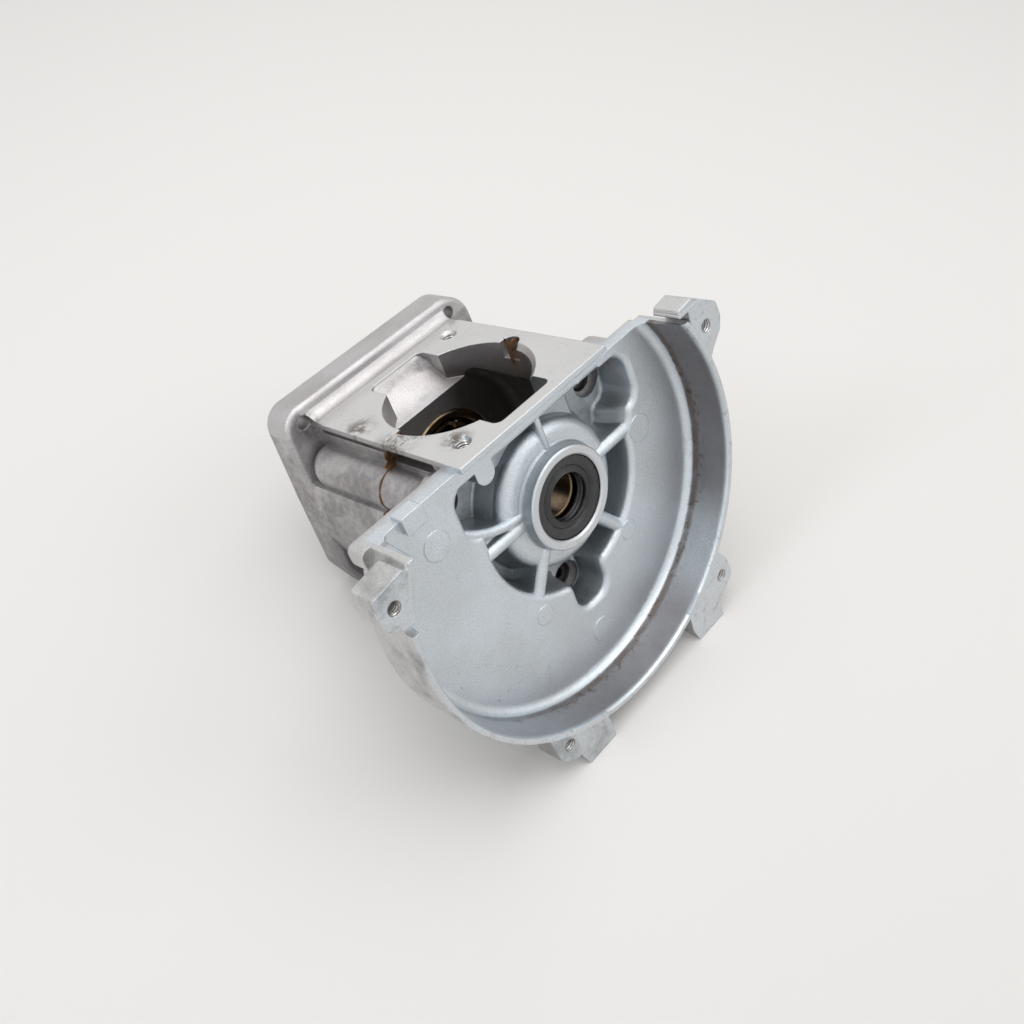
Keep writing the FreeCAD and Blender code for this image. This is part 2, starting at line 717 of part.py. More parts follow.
def make_rear_case():
    """Starter-side half of the crankcase, one casting."""
    solids = body_core(back_y, flange_front + 1)
    solids += [round_end_lobe(x, z, back_y, flange_front - 1.0) for x, z in screw_places()]
    solids.append(make_flange())
    solids.append(box(-plate_half, plate_half, back_y, flange_front + 1, top_z - plate_t, top_z))
    solids.append(flange_ramp())
    case = fuse(solids)
    hollow = cyl(chamber_r, wall_back + wall, flange_back + 1)
    keep = cyl(housing_r, wall_back, wall_back + bearing_w + 0.8)
    nose = cyl(boss_r, wall_back, 2 * split_y)
    case = case.cut(hollow.cut(box(-far, far, 0, far, hollow_top, far)))
    ribs = [rib(0, 0, 38 * math.cos(math.radians(a)), 38 * math.sin(math.radians(a)), 3.5, wall_back, rib_back)
            for a in (200, 235, 270, 305, 340)]
    turned_ribs = [r.common(cyl(chamber_r + 1, 0, far)) for r in ribs]
    case = fuse([case, keep, nose] + [turn_back(r) for r in turned_ribs])
    cuts = [rear_bore(), chamber(back_y - 1, wall_back, wall_back), mouth()]
    for x, z in screw_places():
        cuts.append(cyl(screw_r + 0.05, back_y - 1, screw_end + 3, x, z))
    for x, z in flange_holes():
        cuts.append(cyl(flange_hole_r, flange_front - 8, flange_back + 1, x, z))
    for side in (-1, 1):
        cuts.append(cyl(dowel_r, back_y - 1, back_y + dowel_half_l + 0.5, side * dowel_x, dowel_z))
        cuts.append(side_slot(side, back_y - 1, flange_front - 3, 32.0, 33.0))
    cuts += seat_cuts(1)
    return case.cut(fuse_all(cuts))


def turn_back(shape):
    """Mirror a rib so that its crest looks to the back."""
    middle = (wall_back + rib_back) / 2
    return shape.mirror(V(0, middle, 0), V(0, 1, 0))


def rear_bore():
    """Stepped bore of the starter side, the mirror of the fan side."""
    bore = crank_bore()
    return bore.mirror(V(0, split_y, 0), V(0, 1, 0))


def make_gasket():
    """Paper gasket of the split line, cut to the joint faces."""
    outer = fuse(body_core(front_y, back_y) + lobes(front_y, back_y)
                 + [box(-block_half, block_half, front_y, back_y, 20, top_z - 0.3)])
    cuts = [cyl(chamber_r + 0.2, 0, far), opening_plan(20, top_z + 1)]
    for x, z in screw_places():
        cuts.append(cyl(screw_clear_r + 0.2, 0, far, x, z))
    for side in (-1, 1):
        cuts.append(cyl(dowel_r + 0.3, 0, far, side * dowel_x, dowel_z))
        cuts.append(side_slot(side, front_y - 1, back_y + 1, 30.5, 31.5))
    return outer.cut(fuse_all(cuts))


def seal_profile():
    """Section of an oil seal as radius and depth, face at depth nought."""
    return [(seal_r - 0.4, 0), (seal_r, 0.5), (seal_r, seal_w), (seal_r - 2.2, seal_w), (seal_r - 2.2, 2.0),
            (12.0, 1.8), (10.9, 3.1), (10.6, 4.4), (10.25, 5.6), (9.3, 5.8), (lip_r, 4.3), (9.4, 2.7),
            (9.0, 1.8), (lip_r + 0.15, 0.6), (lip_r + 0.35, 0.2), (10.2, 0.9), (10.6, 0.75),
            (11.0, 0.9), (11.5, 0.45), (12.0, 0.15), (12.6, 0.0)]


def make_seal(side):
    """Oil seal body, one moulding."""
    points = [(r, seal_inset + y) for r, y in seal_profile()]
    solid = turned(points)
    return solid if side < 0 else solid.mirror(V(0, split_y, 0), V(0, 1, 0))


def make_spring(side):
    """Garter spring that rides on the seal lip."""
    y = seal_inset + 5.0
    solid = Part.makeTorus(spring_ring_r, spring_wire_r, V(0, y, 0), V(0, 1, 0))
    return solid if side < 0 else solid.mirror(V(0, split_y, 0), V(0, 1, 0))


def bearing_middle(side):
    """Middle plane of a bearing."""
    return split_y + side * (chamber_half + bearing_w / 2)


def race_groove(y):
    """Torus that cuts both raceways."""
    return Part.makeTorus(pitch_r, groove_r, V(0, y, 0), V(0, 1, 0))


def make_outer_ring(side):
    """Outer ring of a bearing."""
    y = bearing_middle(side)
    half = bearing_w / 2
    ring = turned(ring_points(ring_outer_r, bearing_r, y - half, y + half, ring_chamfer))
    return ring.cut(race_groove(y))


def make_inner_ring(side):
    """Inner ring of a bearing."""
    y = bearing_middle(side)
    half = bearing_w / 2
    ring = turned(ring_points(shaft_r, ring_inner_r, y - half, y + half, ring_chamfer * 0.8))
    return ring.cut(race_groove(y))


def ball_centres(side):
    """Places of the balls of a bearing."""
    y = bearing_middle(side)
    step = 2 * math.pi / ball_count
    return [V(pitch_r * math.cos(i * step), y, pitch_r * math.sin(i * step)) for i in range(ball_count)]


def make_balls(side):
    """Set of balls of a bearing."""
    return Part.makeCompound([Part.makeSphere(ball_r, c) for c in ball_centres(side)])


def spoke(angle, r, y):
    """Round cutting bar that looks out from the crank axis."""
    way = V(math.cos(angle), 0, math.sin(angle))
    start = way * (cage_r - 3)
    start.y = y
    return Part.makeCylinder(r, 6, start, way)


def make_cage(side):
    """Ball cage: a thin band with a round pocket for each ball and wavy edges."""
    y = bearing_middle(side)
    inner, outer = cage_r - cage_t / 2, cage_r + cage_t / 2
    band = turned([(inner, y - cage_half), (outer, y - cage_half), (outer, y + cage_half), (inner, y + cage_half)])
    step = 2 * math.pi / ball_count
    cuts = []
    for i in range(ball_count):
        cuts.append(spoke(i * step, ball_r + 0.08, y))
        cuts.append(spoke((i + 0.5) * step, 3.2, y - cage_half - 1.7))
        cuts.append(spoke((i + 0.5) * step, 3.2, y + cage_half + 1.7))
    return band.cut(fuse_all(cuts))


def hexagon(af, y0, y1, x, z):
    """Hexagon socket along Y."""
    r = af / math.sqrt(3)
    points = [(x + r * math.cos(math.radians(60 * i)), z + r * math.sin(math.radians(60 * i))) for i in range(6)]
    return plate(points, 0, y0, y1)


def make_screw(x, z):
    """Socket-head screw that holds the two halves."""
    head_y = seat_y - head_h
    head = turned([(0, head_y), (head_r - 0.5, head_y), (head_r, head_y + 0.5), (head_r, seat_y),
                   (screw_r - 0.05, seat_y), (screw_r - 0.05, screw_end - 0.8), (screw_r - 0.8, screw_end),
                   (0, screw_end)], x, z)
    return head.cut(hexagon(socket_af, head_y - 1, head_y + 2.6, x, z))


def make_dowel(side):
    """Dowel pin that lines up the halves."""
    r = dowel_r
    y0 = split_y - dowel_half_l
    y1 = split_y + dowel_half_l
    return turned([(0, y0), (r - 0.5, y0), (r, y0 + 0.5), (r, y1 - 0.5), (r - 0.5, y1), (0, y1)],
                  side * dowel_x, dowel_z)


def save(name, shape):
    """Write one node and print its size."""
    shape.exportStep("parts/" + name + ".step")
    print(name, shape.isValid(), len(shape.Solids), round(shape.Volume), len(shape.Faces))


left, right, low = screw_places()
save("fan_side_case", make_front_case())
save("starter_side_case", make_rear_case())
save("case_gasket", make_gasket())
for name, side in (("front", -1), ("rear", 1)):
    save(name + "_seal", make_seal(side))
    save(name + "_seal_spring", make_spring(side))
    save(name + "_outer_ring", make_outer_ring(side))
    save(name + "_inner_ring", make_inner_ring(side))
    save(name + "_cage", make_cage(side))
    save(name + "_balls", make_balls(side))
save("dowel_left", make_dowel(-1))
save("dowel_right", make_dowel(1))
save("case_screw_left", make_screw(left[0], left[1]))
save("case_screw_right", make_screw(right[0], right[1]))
save("case_screw_low", make_screw(low[0], low[1]))
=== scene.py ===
import math

import bpy
import numpy as np
from mathutils import Matrix, Vector


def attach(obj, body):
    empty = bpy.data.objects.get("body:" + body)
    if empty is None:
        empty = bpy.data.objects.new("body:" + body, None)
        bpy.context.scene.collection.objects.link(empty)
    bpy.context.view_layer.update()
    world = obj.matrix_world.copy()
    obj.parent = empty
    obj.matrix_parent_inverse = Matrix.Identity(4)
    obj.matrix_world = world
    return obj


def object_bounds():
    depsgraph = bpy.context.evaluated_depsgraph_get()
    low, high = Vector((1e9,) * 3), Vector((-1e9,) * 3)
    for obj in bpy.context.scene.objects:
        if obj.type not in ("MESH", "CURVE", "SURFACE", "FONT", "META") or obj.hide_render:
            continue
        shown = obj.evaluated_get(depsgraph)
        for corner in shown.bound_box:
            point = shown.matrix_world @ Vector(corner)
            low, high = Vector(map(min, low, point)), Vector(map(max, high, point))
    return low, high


bl_info = {
    "name": "Crankcase looks",
    "version": (1, 0, 0),
    "blender": (4, 5, 0),
    "location": "View3D > Sidebar > Crankcase",
    "description": "Cast, machined, rubber and paper finishes of a small engine crankcase",
    "category": "Object",
}

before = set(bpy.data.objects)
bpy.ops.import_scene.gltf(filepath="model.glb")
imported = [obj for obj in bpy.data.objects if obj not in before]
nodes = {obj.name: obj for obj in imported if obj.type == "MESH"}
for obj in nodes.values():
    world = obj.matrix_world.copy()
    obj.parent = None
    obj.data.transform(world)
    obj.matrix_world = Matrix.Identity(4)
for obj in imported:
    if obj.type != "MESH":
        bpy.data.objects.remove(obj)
cad_low, cad_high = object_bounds()

MM = 0.001
# places and sizes in mm: joint of the halves, cylinder seat, shroud rim, shroud floor and shroud middle
SPLIT_Y = 40.5
SEAT_Z = 38.5
RIM_Y = -14.0
FLOOR_Y = 4.0
SHROUD_X = -6.4
SHROUD_Z = -2.0
# shroud wall's inner radius at its foot and a radius within its thickness, seal bosses, reach of the pockets
WALL_FOOT_R = 72.7
WALL_CORE_R = 74.5
BOSS_R = 18.5
REAR_BOSS_Y = 80.9
POCKETS_R = 48.0
FLANGE_BACK_Y = cad_high[1] / MM
# way up of the floor that the real case leans back on, in the case's own frame
UP = Vector((0.0, -0.415, 0.910)).normalized()
# camera's place in m and its axes, worked out from the round edges that the photograph shows
CAMERA_AT = (-0.17912, -0.23849, 0.20934)
CAMERA_RIGHT = (0.6599, -0.6839, -0.3111)
CAMERA_UP = (0.6032, 0.2354, 0.7621)
CAMERA_BACK = (-0.4479, -0.6905, 0.5679)
CAMERA_LENS = 37.92
# screw lobe and widened side on the left of the body
SCREW_X = -36.3
SCREW_Z = 20.8
LOBE_R = 8.3
SIDE_R = 48.5
# edge of the gasket that stands out, and torn paper: corner, way out, width, height and phase of the tear
BEAD_WIDTH = 0.9
BEAD_HEIGHT = 0.4
SCRAPS = (((-33.8, 28.4), -1.0, 7.8, 5.6, 0.6), ((26.2, 30.0), 1.0, 11.0, 3.0, 2.3))
# threads: radius, then depth of the first turn and length; the seat's holes in x, y and the lugs' in x, z
THREAD_R = 2.5
SEAT_THREAD = (0.9, 11.8)
LUG_THREAD = (0.2, 10.6)
SEAT_HOLES = ((-24.5, 11.5), (25.5, 71.5))
LUG_HOLES = ((68.5, 27.5), (-82.0, 27.5), (-47.5, -70.0), (44.0, -68.5))
# places where dirt has gathered, each with its reach
DIRT = (((-24.0, 15.0, 38.5), 8.0), ((-33.0, 36.0, 38.5), 12.0), ((-32.0, 58.0, 38.5), 9.0),
        ((-37.4, 82.0, 39.2), 8.0), ((-27.0, 30.0, 35.0), 8.0))
# tones of the finishes beside those that the settings hold
COOL_CLOUD = (0.58, 0.62, 0.65, 1.0)
WARM_CLOUD = (0.44, 0.42, 0.42, 1.0)
SHROUD_OUTSIDE = (0.565, 0.565, 0.56, 1.0)
SCRATCHED = (0.30, 0.29, 0.28, 1.0)
# brown-grey oil coat on the shroud's inner wall, laid on heavier where the wall is in shade, as painted shade
WALL_OIL_AND_SHADE = (0.175, 0.155, 0.158, 1.0)
FOOT_LINE = (0.135, 0.105, 0.088, 1.0)
CORNER_DIRT = (0.095, 0.075, 0.058, 1.0)
# dark oil that also stands for the shade in the crank chamber and the seal's bore, as painted shade
CHAMBER_OIL_AND_SHADE = (0.12, 0.10, 0.09, 1.0)
RIM_NICK = (0.26, 0.25, 0.24, 1.0)
RUBBER_DUST = (0.16, 0.15, 0.14, 1.0)
BROWN_OIL = (0.13, 0.075, 0.035, 1.0)
THREAD_DIRT = (0.10, 0.09, 0.08, 1.0)
SOAKED_PAPER = (0.035, 0.016, 0.008, 1.0)
PAPER_FIBRE = (0.33, 0.16, 0.06, 1.0)
FLOOR_CLOUD = (0.90, 0.90, 0.90, 1.0)


# settings
class CastingSettings(bpy.types.PropertyGroup):
    shroud_colour: bpy.props.FloatVectorProperty(
        name="Shroud metal", description="Colour of the cast skin inside the fan shroud",
        subtype="COLOR", size=3, min=0, max=1, default=(0.63, 0.685, 0.73))
    body_colour: bpy.props.FloatVectorProperty(
        name="Body metal", description="Colour of the cast skin of the body and flange",
        subtype="COLOR", size=3, min=0, max=1, default=(0.53, 0.52, 0.525))
    machined_colour: bpy.props.FloatVectorProperty(
        name="Machined metal", description="Colour of the milled and turned faces",
        subtype="COLOR", size=3, min=0, max=1, default=(0.64, 0.635, 0.63))
    stain_colour: bpy.props.FloatVectorProperty(
        name="Oil stain", description="Colour of the old oil in corners and bores",
        subtype="COLOR", size=3, min=0, max=1, default=(0.10, 0.065, 0.042))
    soot_colour: bpy.props.FloatVectorProperty(
        name="Soot", description="Colour of the dark smudges on the cast skin",
        subtype="COLOR", size=3, min=0, max=1, default=(0.075, 0.072, 0.075))
    grain: bpy.props.FloatProperty(
        name="Cast grain", description="Size of the grain of the cast skin",
        subtype="DISTANCE", unit="LENGTH", default=0.00038, min=0.0001, max=0.003)
    grain_height: bpy.props.FloatProperty(
        name="Grain height", description="Height of the grain of the cast skin",
        subtype="DISTANCE", unit="LENGTH", default=0.00013, min=0.0, max=0.001)


class RubberSettings(bpy.types.PropertyGroup):
    colour: bpy.props.FloatVectorProperty(
        name="Rubber", description="Colour of the seal rubber",
        subtype="COLOR", size=3, min=0, max=1, default=(0.020, 0.021, 0.024))
    ring_pitch: bpy.props.FloatProperty(
        name="Ring pitch", description="Distance between the fine moulded rings on the seal",
        subtype="DISTANCE", unit="LENGTH", default=0.0011, min=0.0003, max=0.005)


class SteelSettings(bpy.types.PropertyGroup):
    bearing_colour: bpy.props.FloatVectorProperty(
        name="Bearing steel", description="Colour of the oiled bearing rings and balls",
        subtype="COLOR", size=3, min=0, max=1, default=(0.20, 0.155, 0.11))
    screw_colour: bpy.props.FloatVectorProperty(
        name="Screw steel", description="Colour of the darkened case screws",
        subtype="COLOR", size=3, min=0, max=1, default=(0.10, 0.10, 0.11))


class PaperSettings(bpy.types.PropertyGroup):
    colour: bpy.props.FloatVectorProperty(
        name="Gasket paper", description="Colour of the oil-soaked gasket paper",
        subtype="COLOR", size=3, min=0, max=1, default=(0.23, 0.105, 0.038))
    thickness: bpy.props.FloatProperty(
        name="Paper thickness", description="Thickness of the torn paper that stands out",
        subtype="DISTANCE", unit="LENGTH", default=0.0005, min=0.0002, max=0.002)


class ThreadSettings(bpy.types.PropertyGroup):
    pitch: bpy.props.FloatProperty(
        name="Pitch", description="Pitch of the threads in the seat and the lugs",
        subtype="DISTANCE", unit="LENGTH", default=0.001, min=0.0005, max=0.002)
    depth: bpy.props.FloatProperty(
        name="Depth", description="Height of the thread's ridge",
        subtype="DISTANCE", unit="LENGTH", default=0.0004, min=0.0001, max=0.001)


class StageSettings(bpy.types.PropertyGroup):
    floor_colour: bpy.props.FloatVectorProperty(
        name="Floor", description="Colour of the pale floor",
        subtype="COLOR", size=3, min=0, max=1, default=(0.86, 0.85, 0.84))
    sky: bpy.props.FloatProperty(
        name="Room light", description="Strength of the even light from all round",
        default=0.48, min=0.0, max=2.0)
    key: bpy.props.FloatProperty(
        name="Soft lamp", description="Power of the large lamp above",
        default=4.2, min=0.0, max=50.0)


# node helpers
class Net:
    """Short way to place and join shader nodes in one tree."""

    def __init__(self, tree):
        self.tree = tree

    def add(self, kind, inputs=(), **settings):
        """One node; inputs is a list of (socket, value or other socket)."""
        made = self.tree.nodes.new(kind)
        for key, value in settings.items():
            setattr(made, key, value)
        for socket, value in inputs:
            self.put(made.inputs[socket], value)
        return made

    def put(self, socket, value):
        """Join a socket to another, or set its value."""
        if isinstance(value, bpy.types.NodeSocket):
            self.tree.links.new(value, socket)
        else:
            socket.default_value = value

    def math(self, operation, a, b=0.0):
        """One sum on single numbers."""
        return self.add("ShaderNodeMath", [(0, a), (1, b)], operation=operation).outputs[0]

    def span(self, value, low, high):
        """Nought below low, one above high, smooth between; low may lie above high."""
        made = self.add("ShaderNodeMapRange", [(0, value), (1, low), (2, high), (3, 0.0), (4, 1.0)],
                        interpolation_type="SMOOTHSTEP")
        return made.outputs[0]

    def noise(self, vector, scale, detail=3.0, rough=0.55, distortion=0.0):
        """Value of a fractal noise."""
        made = self.add("ShaderNodeTexNoise", [("Vector", vector), ("Scale", scale), ("Detail", detail),
                                               ("Roughness", rough), ("Distortion", distortion)])
        return made.outputs["Fac"]

    def blend(self, fac, a, b, mode="MIX"):
        """Mix of two colours."""
        made = self.add("ShaderNodeMix", data_type="RGBA", blend_type=mode)
        self.put(made.inputs[0], fac)
        self.put(made.inputs[6], a)
        self.put(made.inputs[7], b)
        return made.outputs[2]

    def all_of(self, *masks):
        """Product of masks."""
        out = masks[0]
        for mask in masks[1:]:
            out = self.math("MULTIPLY", out, mask)
        return out

    def any_of(self, *masks):
        """Largest of masks."""
        out = masks[0]
        for mask in masks[1:]:
            out = self.math("MAXIMUM", out, mask)
        return out


def colour4(value):
    """Colour with an alpha of one."""
    return (value[0], value[1], value[2], 1.0)


def new_group(name, inputs, outputs):
    """Empty shader group with named sockets; gives the group, its net, its input and output nodes."""
    tree = bpy.data.node_groups.new(name, "ShaderNodeTree")
    kinds = {"number": "NodeSocketFloat", "vector": "NodeSocketVector"}
    for label, kind, default in inputs:
        socket = tree.interface.new_socket(label, in_out="INPUT", socket_type=kinds[kind])
        if default is not None:
            socket.default_value = default
    for label, kind in outputs:
        tree.interface.new_socket(label, in_out="OUTPUT", socket_type=kinds[kind])
    return tree, Net(tree), tree.nodes.new("NodeGroupInput"), tree.nodes.new("NodeGroupOutput")


def case_places():
    """Group that names the places on the case from Object coordinates.

    Distances in mm: across x, along the crank y, up z, from the crank axis, from the middle of
    the shroud and from the cylinder's axis. Masks: machined faces and the inside of the shroud."""
    tree, net, given, out = new_group(
        "Case places", [("Vector", "vector", None)],
        [(label, "number") for label in ("X", "Y", "Z", "From crank", "From shroud", "From cylinder",
                                         "Machined", "Shroud inside")])
    scaled = net.add("ShaderNodeVectorMath", [(0, given.outputs[0])], operation="SCALE")
    scaled.inputs["Scale"].default_value = 1.0 / MM
    parts = net.add("ShaderNodeSeparateXYZ", [(0, scaled.outputs[0])])
    x, y, z = parts.outputs[0], parts.outputs[1], parts.outputs[2]

    def reach(across, ca, along, cb):
        da = net.math("SUBTRACT", across, ca)
        db = net.math("SUBTRACT", along, cb)
        return net.math("SQRT", net.math("ADD", net.math("MULTIPLY", da, da), net.math("MULTIPLY", db, db)))

    crank = reach(x, 0.0, z, 0.0)
    shroud = reach(x, SHROUD_X, z, SHROUD_Z)
    cylinder = reach(x, 0.0, y, SPLIT_Y)
    top = net.all_of(net.span(z, SEAT_Z - 0.25, SEAT_Z - 0.05), net.span(z, SEAT_Z + 0.25, SEAT_Z + 0.05),
                     net.span(y, 79.5, 78.5))
    rim = net.span(y, RIM_Y + 0.45, RIM_Y + 0.15)
    boss = net.span(crank, BOSS_R + 0.3, BOSS_R)
    turned = net.any_of(net.all_of(net.span(y, 0.45, 0.15), boss),
                        net.all_of(net.span(y, 9.0, 8.0), net.span(crank, 16.2, 15.9)),
                        net.all_of(net.span(y, REAR_BOSS_Y - 0.3, REAR_BOSS_Y - 0.1), boss))
    back = net.span(y, FLANGE_BACK_Y - 0.4, FLANGE_BACK_Y - 0.1)
    machined = net.any_of(top, net.math("MULTIPLY", rim, 0.3), net.math("MULTIPLY", turned, 0.45), back)
    inside = net.all_of(net.span(shroud, WALL_CORE_R + 0.1, WALL_CORE_R - 0.2),
                        net.span(y, FLOOR_Y + 0.4, FLOOR_Y + 0.1))
    for i, socket in enumerate((x, y, z, crank, shroud, cylinder, machined, inside)):
        net.put(out.inputs[i], socket)
    return tree


def cast_grain():
    """Group for the pebbled skin of a die casting: two noises, fine and coarse, as one height."""
    tree, net, given, out = new_group(
        "Cast grain", [("Vector", "vector", None), ("Grain", "number", 0.0005)],
        [("Height", "number"), ("Fleck", "number"), ("Cloud", "number")])
    scale = net.math("DIVIDE", 1.0, given.outputs[1])
    fine = net.noise(given.outputs[0], scale, 2.0, 0.6)
    coarse = net.noise(given.outputs[0], net.math("MULTIPLY", scale, 0.23), 2.0, 0.5)
    height = net.math("ADD", net.math("MULTIPLY", fine, 0.65), net.math("MULTIPLY", coarse, 0.35))
    fleck = net.span(net.noise(given.outputs[0], net.math("MULTIPLY", scale, 0.75), 3.0, 0.7), 0.36, 0.64)
    cloud = net.noise(given.outputs[0], 42.0, 4.0, 0.55)
    net.put(out.inputs[0], height)
    net.put(out.inputs[1], fleck)
    net.put(out.inputs[2], cloud)
    return tree


def tool_marks():
    """Group for milled faces: noise drawn out along one line, and a few deeper scratches."""
    tree, net, given, out = new_group(
        "Tool marks", [("Vector", "vector", None)], [("Height", "number"), ("Scratch", "number")])
    turned = net.add("ShaderNodeMapping", [(0, given.outputs[0])])
    turned.inputs["Rotation"].default_value = (0.0, 0.0, math.radians(24))
    turned.inputs["Scale"].default_value = (5200.0, 260.0, 5200.0)
    lines = net.noise(turned.outputs[0], 1.0, 2.0, 0.5)
    long_way = net.add("ShaderNodeMapping", [(0, given.outputs[0])])
    long_way.inputs["Rotation"].default_value = (0.0, 0.0, math.radians(-38))
    long_way.inputs["Scale"].default_value = (1100.0, 150.0, 1100.0)
    scratch = net.math("MULTIPLY", net.span(net.noise(long_way.outputs[0], 1.0, 3.0, 0.6, 1.4), 0.62, 0.68),
                       net.span(net.noise(given.outputs[0], 70.0, 2.0, 0.5), 0.54, 0.60))
    net.put(out.inputs[0], net.math("SUBTRACT", lines, net.math("MULTIPLY", scratch, 0.15)))
    net.put(out.inputs[1], scratch)
    return tree


def grime():
    """Group for smudges: large soft noise cut by finer noise, raised by an amount."""
    tree, net, given, out = new_group(
        "Grime", [("Vector", "vector", None), ("Scale", "number", 60.0), ("Amount", "number", 0.5),
                  ("Softness", "number", 0.12)], [("Mask", "number")])
    wide = net.noise(given.outputs[0], given.outputs[1], 5.0, 0.62, 0.6)
    small = net.noise(given.outputs[0], net.math("MULTIPLY", given.outputs[1], 7.0), 3.0, 0.6)
    both = net.math("ADD", net.math("MULTIPLY", wide, 0.75), net.math("MULTIPLY", small, 0.25))
    level = net.math("SUBTRACT", 0.80, net.math("MULTIPLY", given.outputs[2], 0.5))
    low = net.math("SUBTRACT", level, given.outputs[3])
    high = net.math("ADD", level, given.outputs[3])
    net.put(out.inputs[0], net.span(both, low, high))
    return tree


def groups():
    """Shared shader groups, built once."""
    makers = {"places": ("Case places", case_places), "grain": ("Cast grain", cast_grain),
              "marks": ("Tool marks", tool_marks), "grime": ("Grime", grime)}
    return {label: bpy.data.node_groups.get(name) or make() for label, (name, make) in makers.items()}


def start_material(name, metallic, roughness):
    """Material with a Principled shader; gives the material, its net, the shader and Object coordinates."""
    material = bpy.data.materials.new(name)
    material.use_nodes = True
    tree = material.node_tree
    tree.nodes.clear()
    net = Net(tree)
    out = tree.nodes.new("ShaderNodeOutputMaterial")
    shader = net.add("ShaderNodeBsdfPrincipled")
    shader.inputs["Metallic"].default_value = metallic
    shader.inputs["Roughness"].default_value = roughness
    tree.links.new(shader.outputs[0], out.inputs[0])
    place = net.add("ShaderNodeTexCoord").outputs["Object"]
    return material, net, shader, place


def place_group(net, tree, inputs):
    """Place a shared group and set its named inputs."""
    made = net.tree.nodes.new("ShaderNodeGroup")
    made.node_tree = tree
    for label, value in inputs:
        net.put(made.inputs[label], value)
    return made.outputs


def grime_mask(net, shared, place, scale, amount, softness):
    """Mask of the shared grime group at one scale, amount and softness."""
    return place_group(net, shared["grime"], [("Vector", place), ("Scale", scale), ("Amount", amount),
                                              ("Softness", softness)])["Mask"]


def times(net, value, share):
    """A mask weakened to a share of itself."""
    return net.math("MULTIPLY", value, share)


def shade(net, colour, value, low, high):
    """Colour made darker or lighter, from low times to high times, by a value from nought to one."""
    return net.blend(1.0, colour, net.math("ADD", low, times(net, value, high - low)), "MULTIPLY")


def cast_skin(net, settings, spot, grain):
    """Colour of the cast skin: cool in the shroud, warmer on the body, clouded and flecked by its grain.

    Painted shade darkens the pockets below the shroud floor and the outer side of the seal boss's nose.
    """
    pockets = net.math("MULTIPLY", net.span(spot["From crank"], POCKETS_R + 2.0, POCKETS_R - 2.0),
                       net.span(spot["Y"], 19.5, 18.0))
    front = net.any_of(net.span(spot["Y"], 12.0, 6.0), pockets)
    cloud = net.span(grain["Cloud"], 0.34, 0.66)
    cool = net.blend(cloud, colour4(settings.shroud_colour), COOL_CLOUD)
    warm = net.blend(cloud, colour4(settings.body_colour), WARM_CLOUD)
    outside = net.math("MULTIPLY", net.span(spot["From shroud"], WALL_CORE_R - 0.1, WALL_CORE_R + 0.3),
                       net.span(spot["Y"], RIM_Y + 0.3, RIM_Y + 1.2))
    cool = net.blend(outside, cool, SHROUD_OUTSIDE)
    skin = net.blend(front, warm, cool)
    # painted shade: the pockets are darkened with depth below the shroud floor, and the outer side of the
    # seal boss's nose too, both to two thirds
    sunk = net.math("MULTIPLY", pockets, net.span(spot["Y"], FLOOR_Y + 0.6, FLOOR_Y + 5.5))
    nose = net.math("MULTIPLY", net.span(spot["From crank"], BOSS_R + 1.3, BOSS_R + 0.7),
                    net.span(spot["Y"], 0.35, 0.8))
    skin = shade(net, skin, net.any_of(sunk, nose), 1.0, 0.66)
    return shade(net, skin, grain["Fleck"], 0.90, 1.09)


def gathered_dirt(net, shared, place):
    """Mask of the dirt round the named places, torn by noise."""
    near = []
    for point, reach in DIRT:
        middle = tuple(value * MM for value in point)
        away = net.add("ShaderNodeVectorMath", [(0, place), (1, middle)], operation="DISTANCE")
        near.append(net.span(away.outputs["Value"], reach * MM, 0.0))
    return net.math("MULTIPLY", net.any_of(*near), grime_mask(net, shared, place, 210.0, 0.62, 0.07))


def wall_oil_and_shade(net, spot, shared, place, metal, stain):
    """Dried oil inside the shroud with painted shade: a brown-grey coat, a brown line at the foot and small
    dark specks.

    All three grow heavier towards the right of the wall as painted shade, and the coat is halved low on the
    right, where the wall faces the lamp, as painted light.
    """
    # painted shade: the coat, foot line and specks grow heavier towards the right of the wall, which lies in
    # shade
    right = net.span(spot["X"], -92.0, -18.0)
    oil_and_shade_right = net.math("ADD", 0.18, times(net, right, 0.82))
    inside = net.math("MULTIPLY", net.span(spot["From shroud"], WALL_FOOT_R - 1.1, WALL_FOOT_R - 0.3),
                      spot["Shroud inside"])
    coat_and_shade = net.math("ADD", 0.72, times(net, grime_mask(net, shared, place, 26.0, 0.60, 0.40), 0.26))
    # painted light: the coat is halved low on the right, where the wall faces the lamp
    lit_lower_right = net.math("MULTIPLY", net.span(spot["Z"], -34.0, -52.0), net.span(spot["X"], 20.0, 40.0))
    less_where_lit = net.math("SUBTRACT", 1.0, times(net, lit_lower_right, 0.5))
    coat_and_shade = net.all_of(coat_and_shade, inside, oil_and_shade_right, less_where_lit, net.span(spot["Y"], RIM_Y + 0.2, RIM_Y + 2.5),
                      net.span(spot["Y"], 2.0, 0.6))
    metal = net.blend(coat_and_shade, metal, WALL_OIL_AND_SHADE)
    foot = net.all_of(grime_mask(net, shared, place, 110.0, 0.80, 0.22), inside,
                      net.span(spot["Y"], -1.9, -0.3), net.span(spot["Y"], 2.0, 1.2), oil_and_shade_right)
    metal = net.blend(times(net, foot, 0.82), metal, FOOT_LINE)
    specks = net.all_of(grime_mask(net, shared, place, 300.0, 0.44, 0.05), inside,
                        net.span(spot["Y"], -5.5, -0.5), net.span(spot["Y"], 2.4, 1.2), oil_and_shade_right)
    return net.blend(times(net, specks, 0.85), metal, stain)


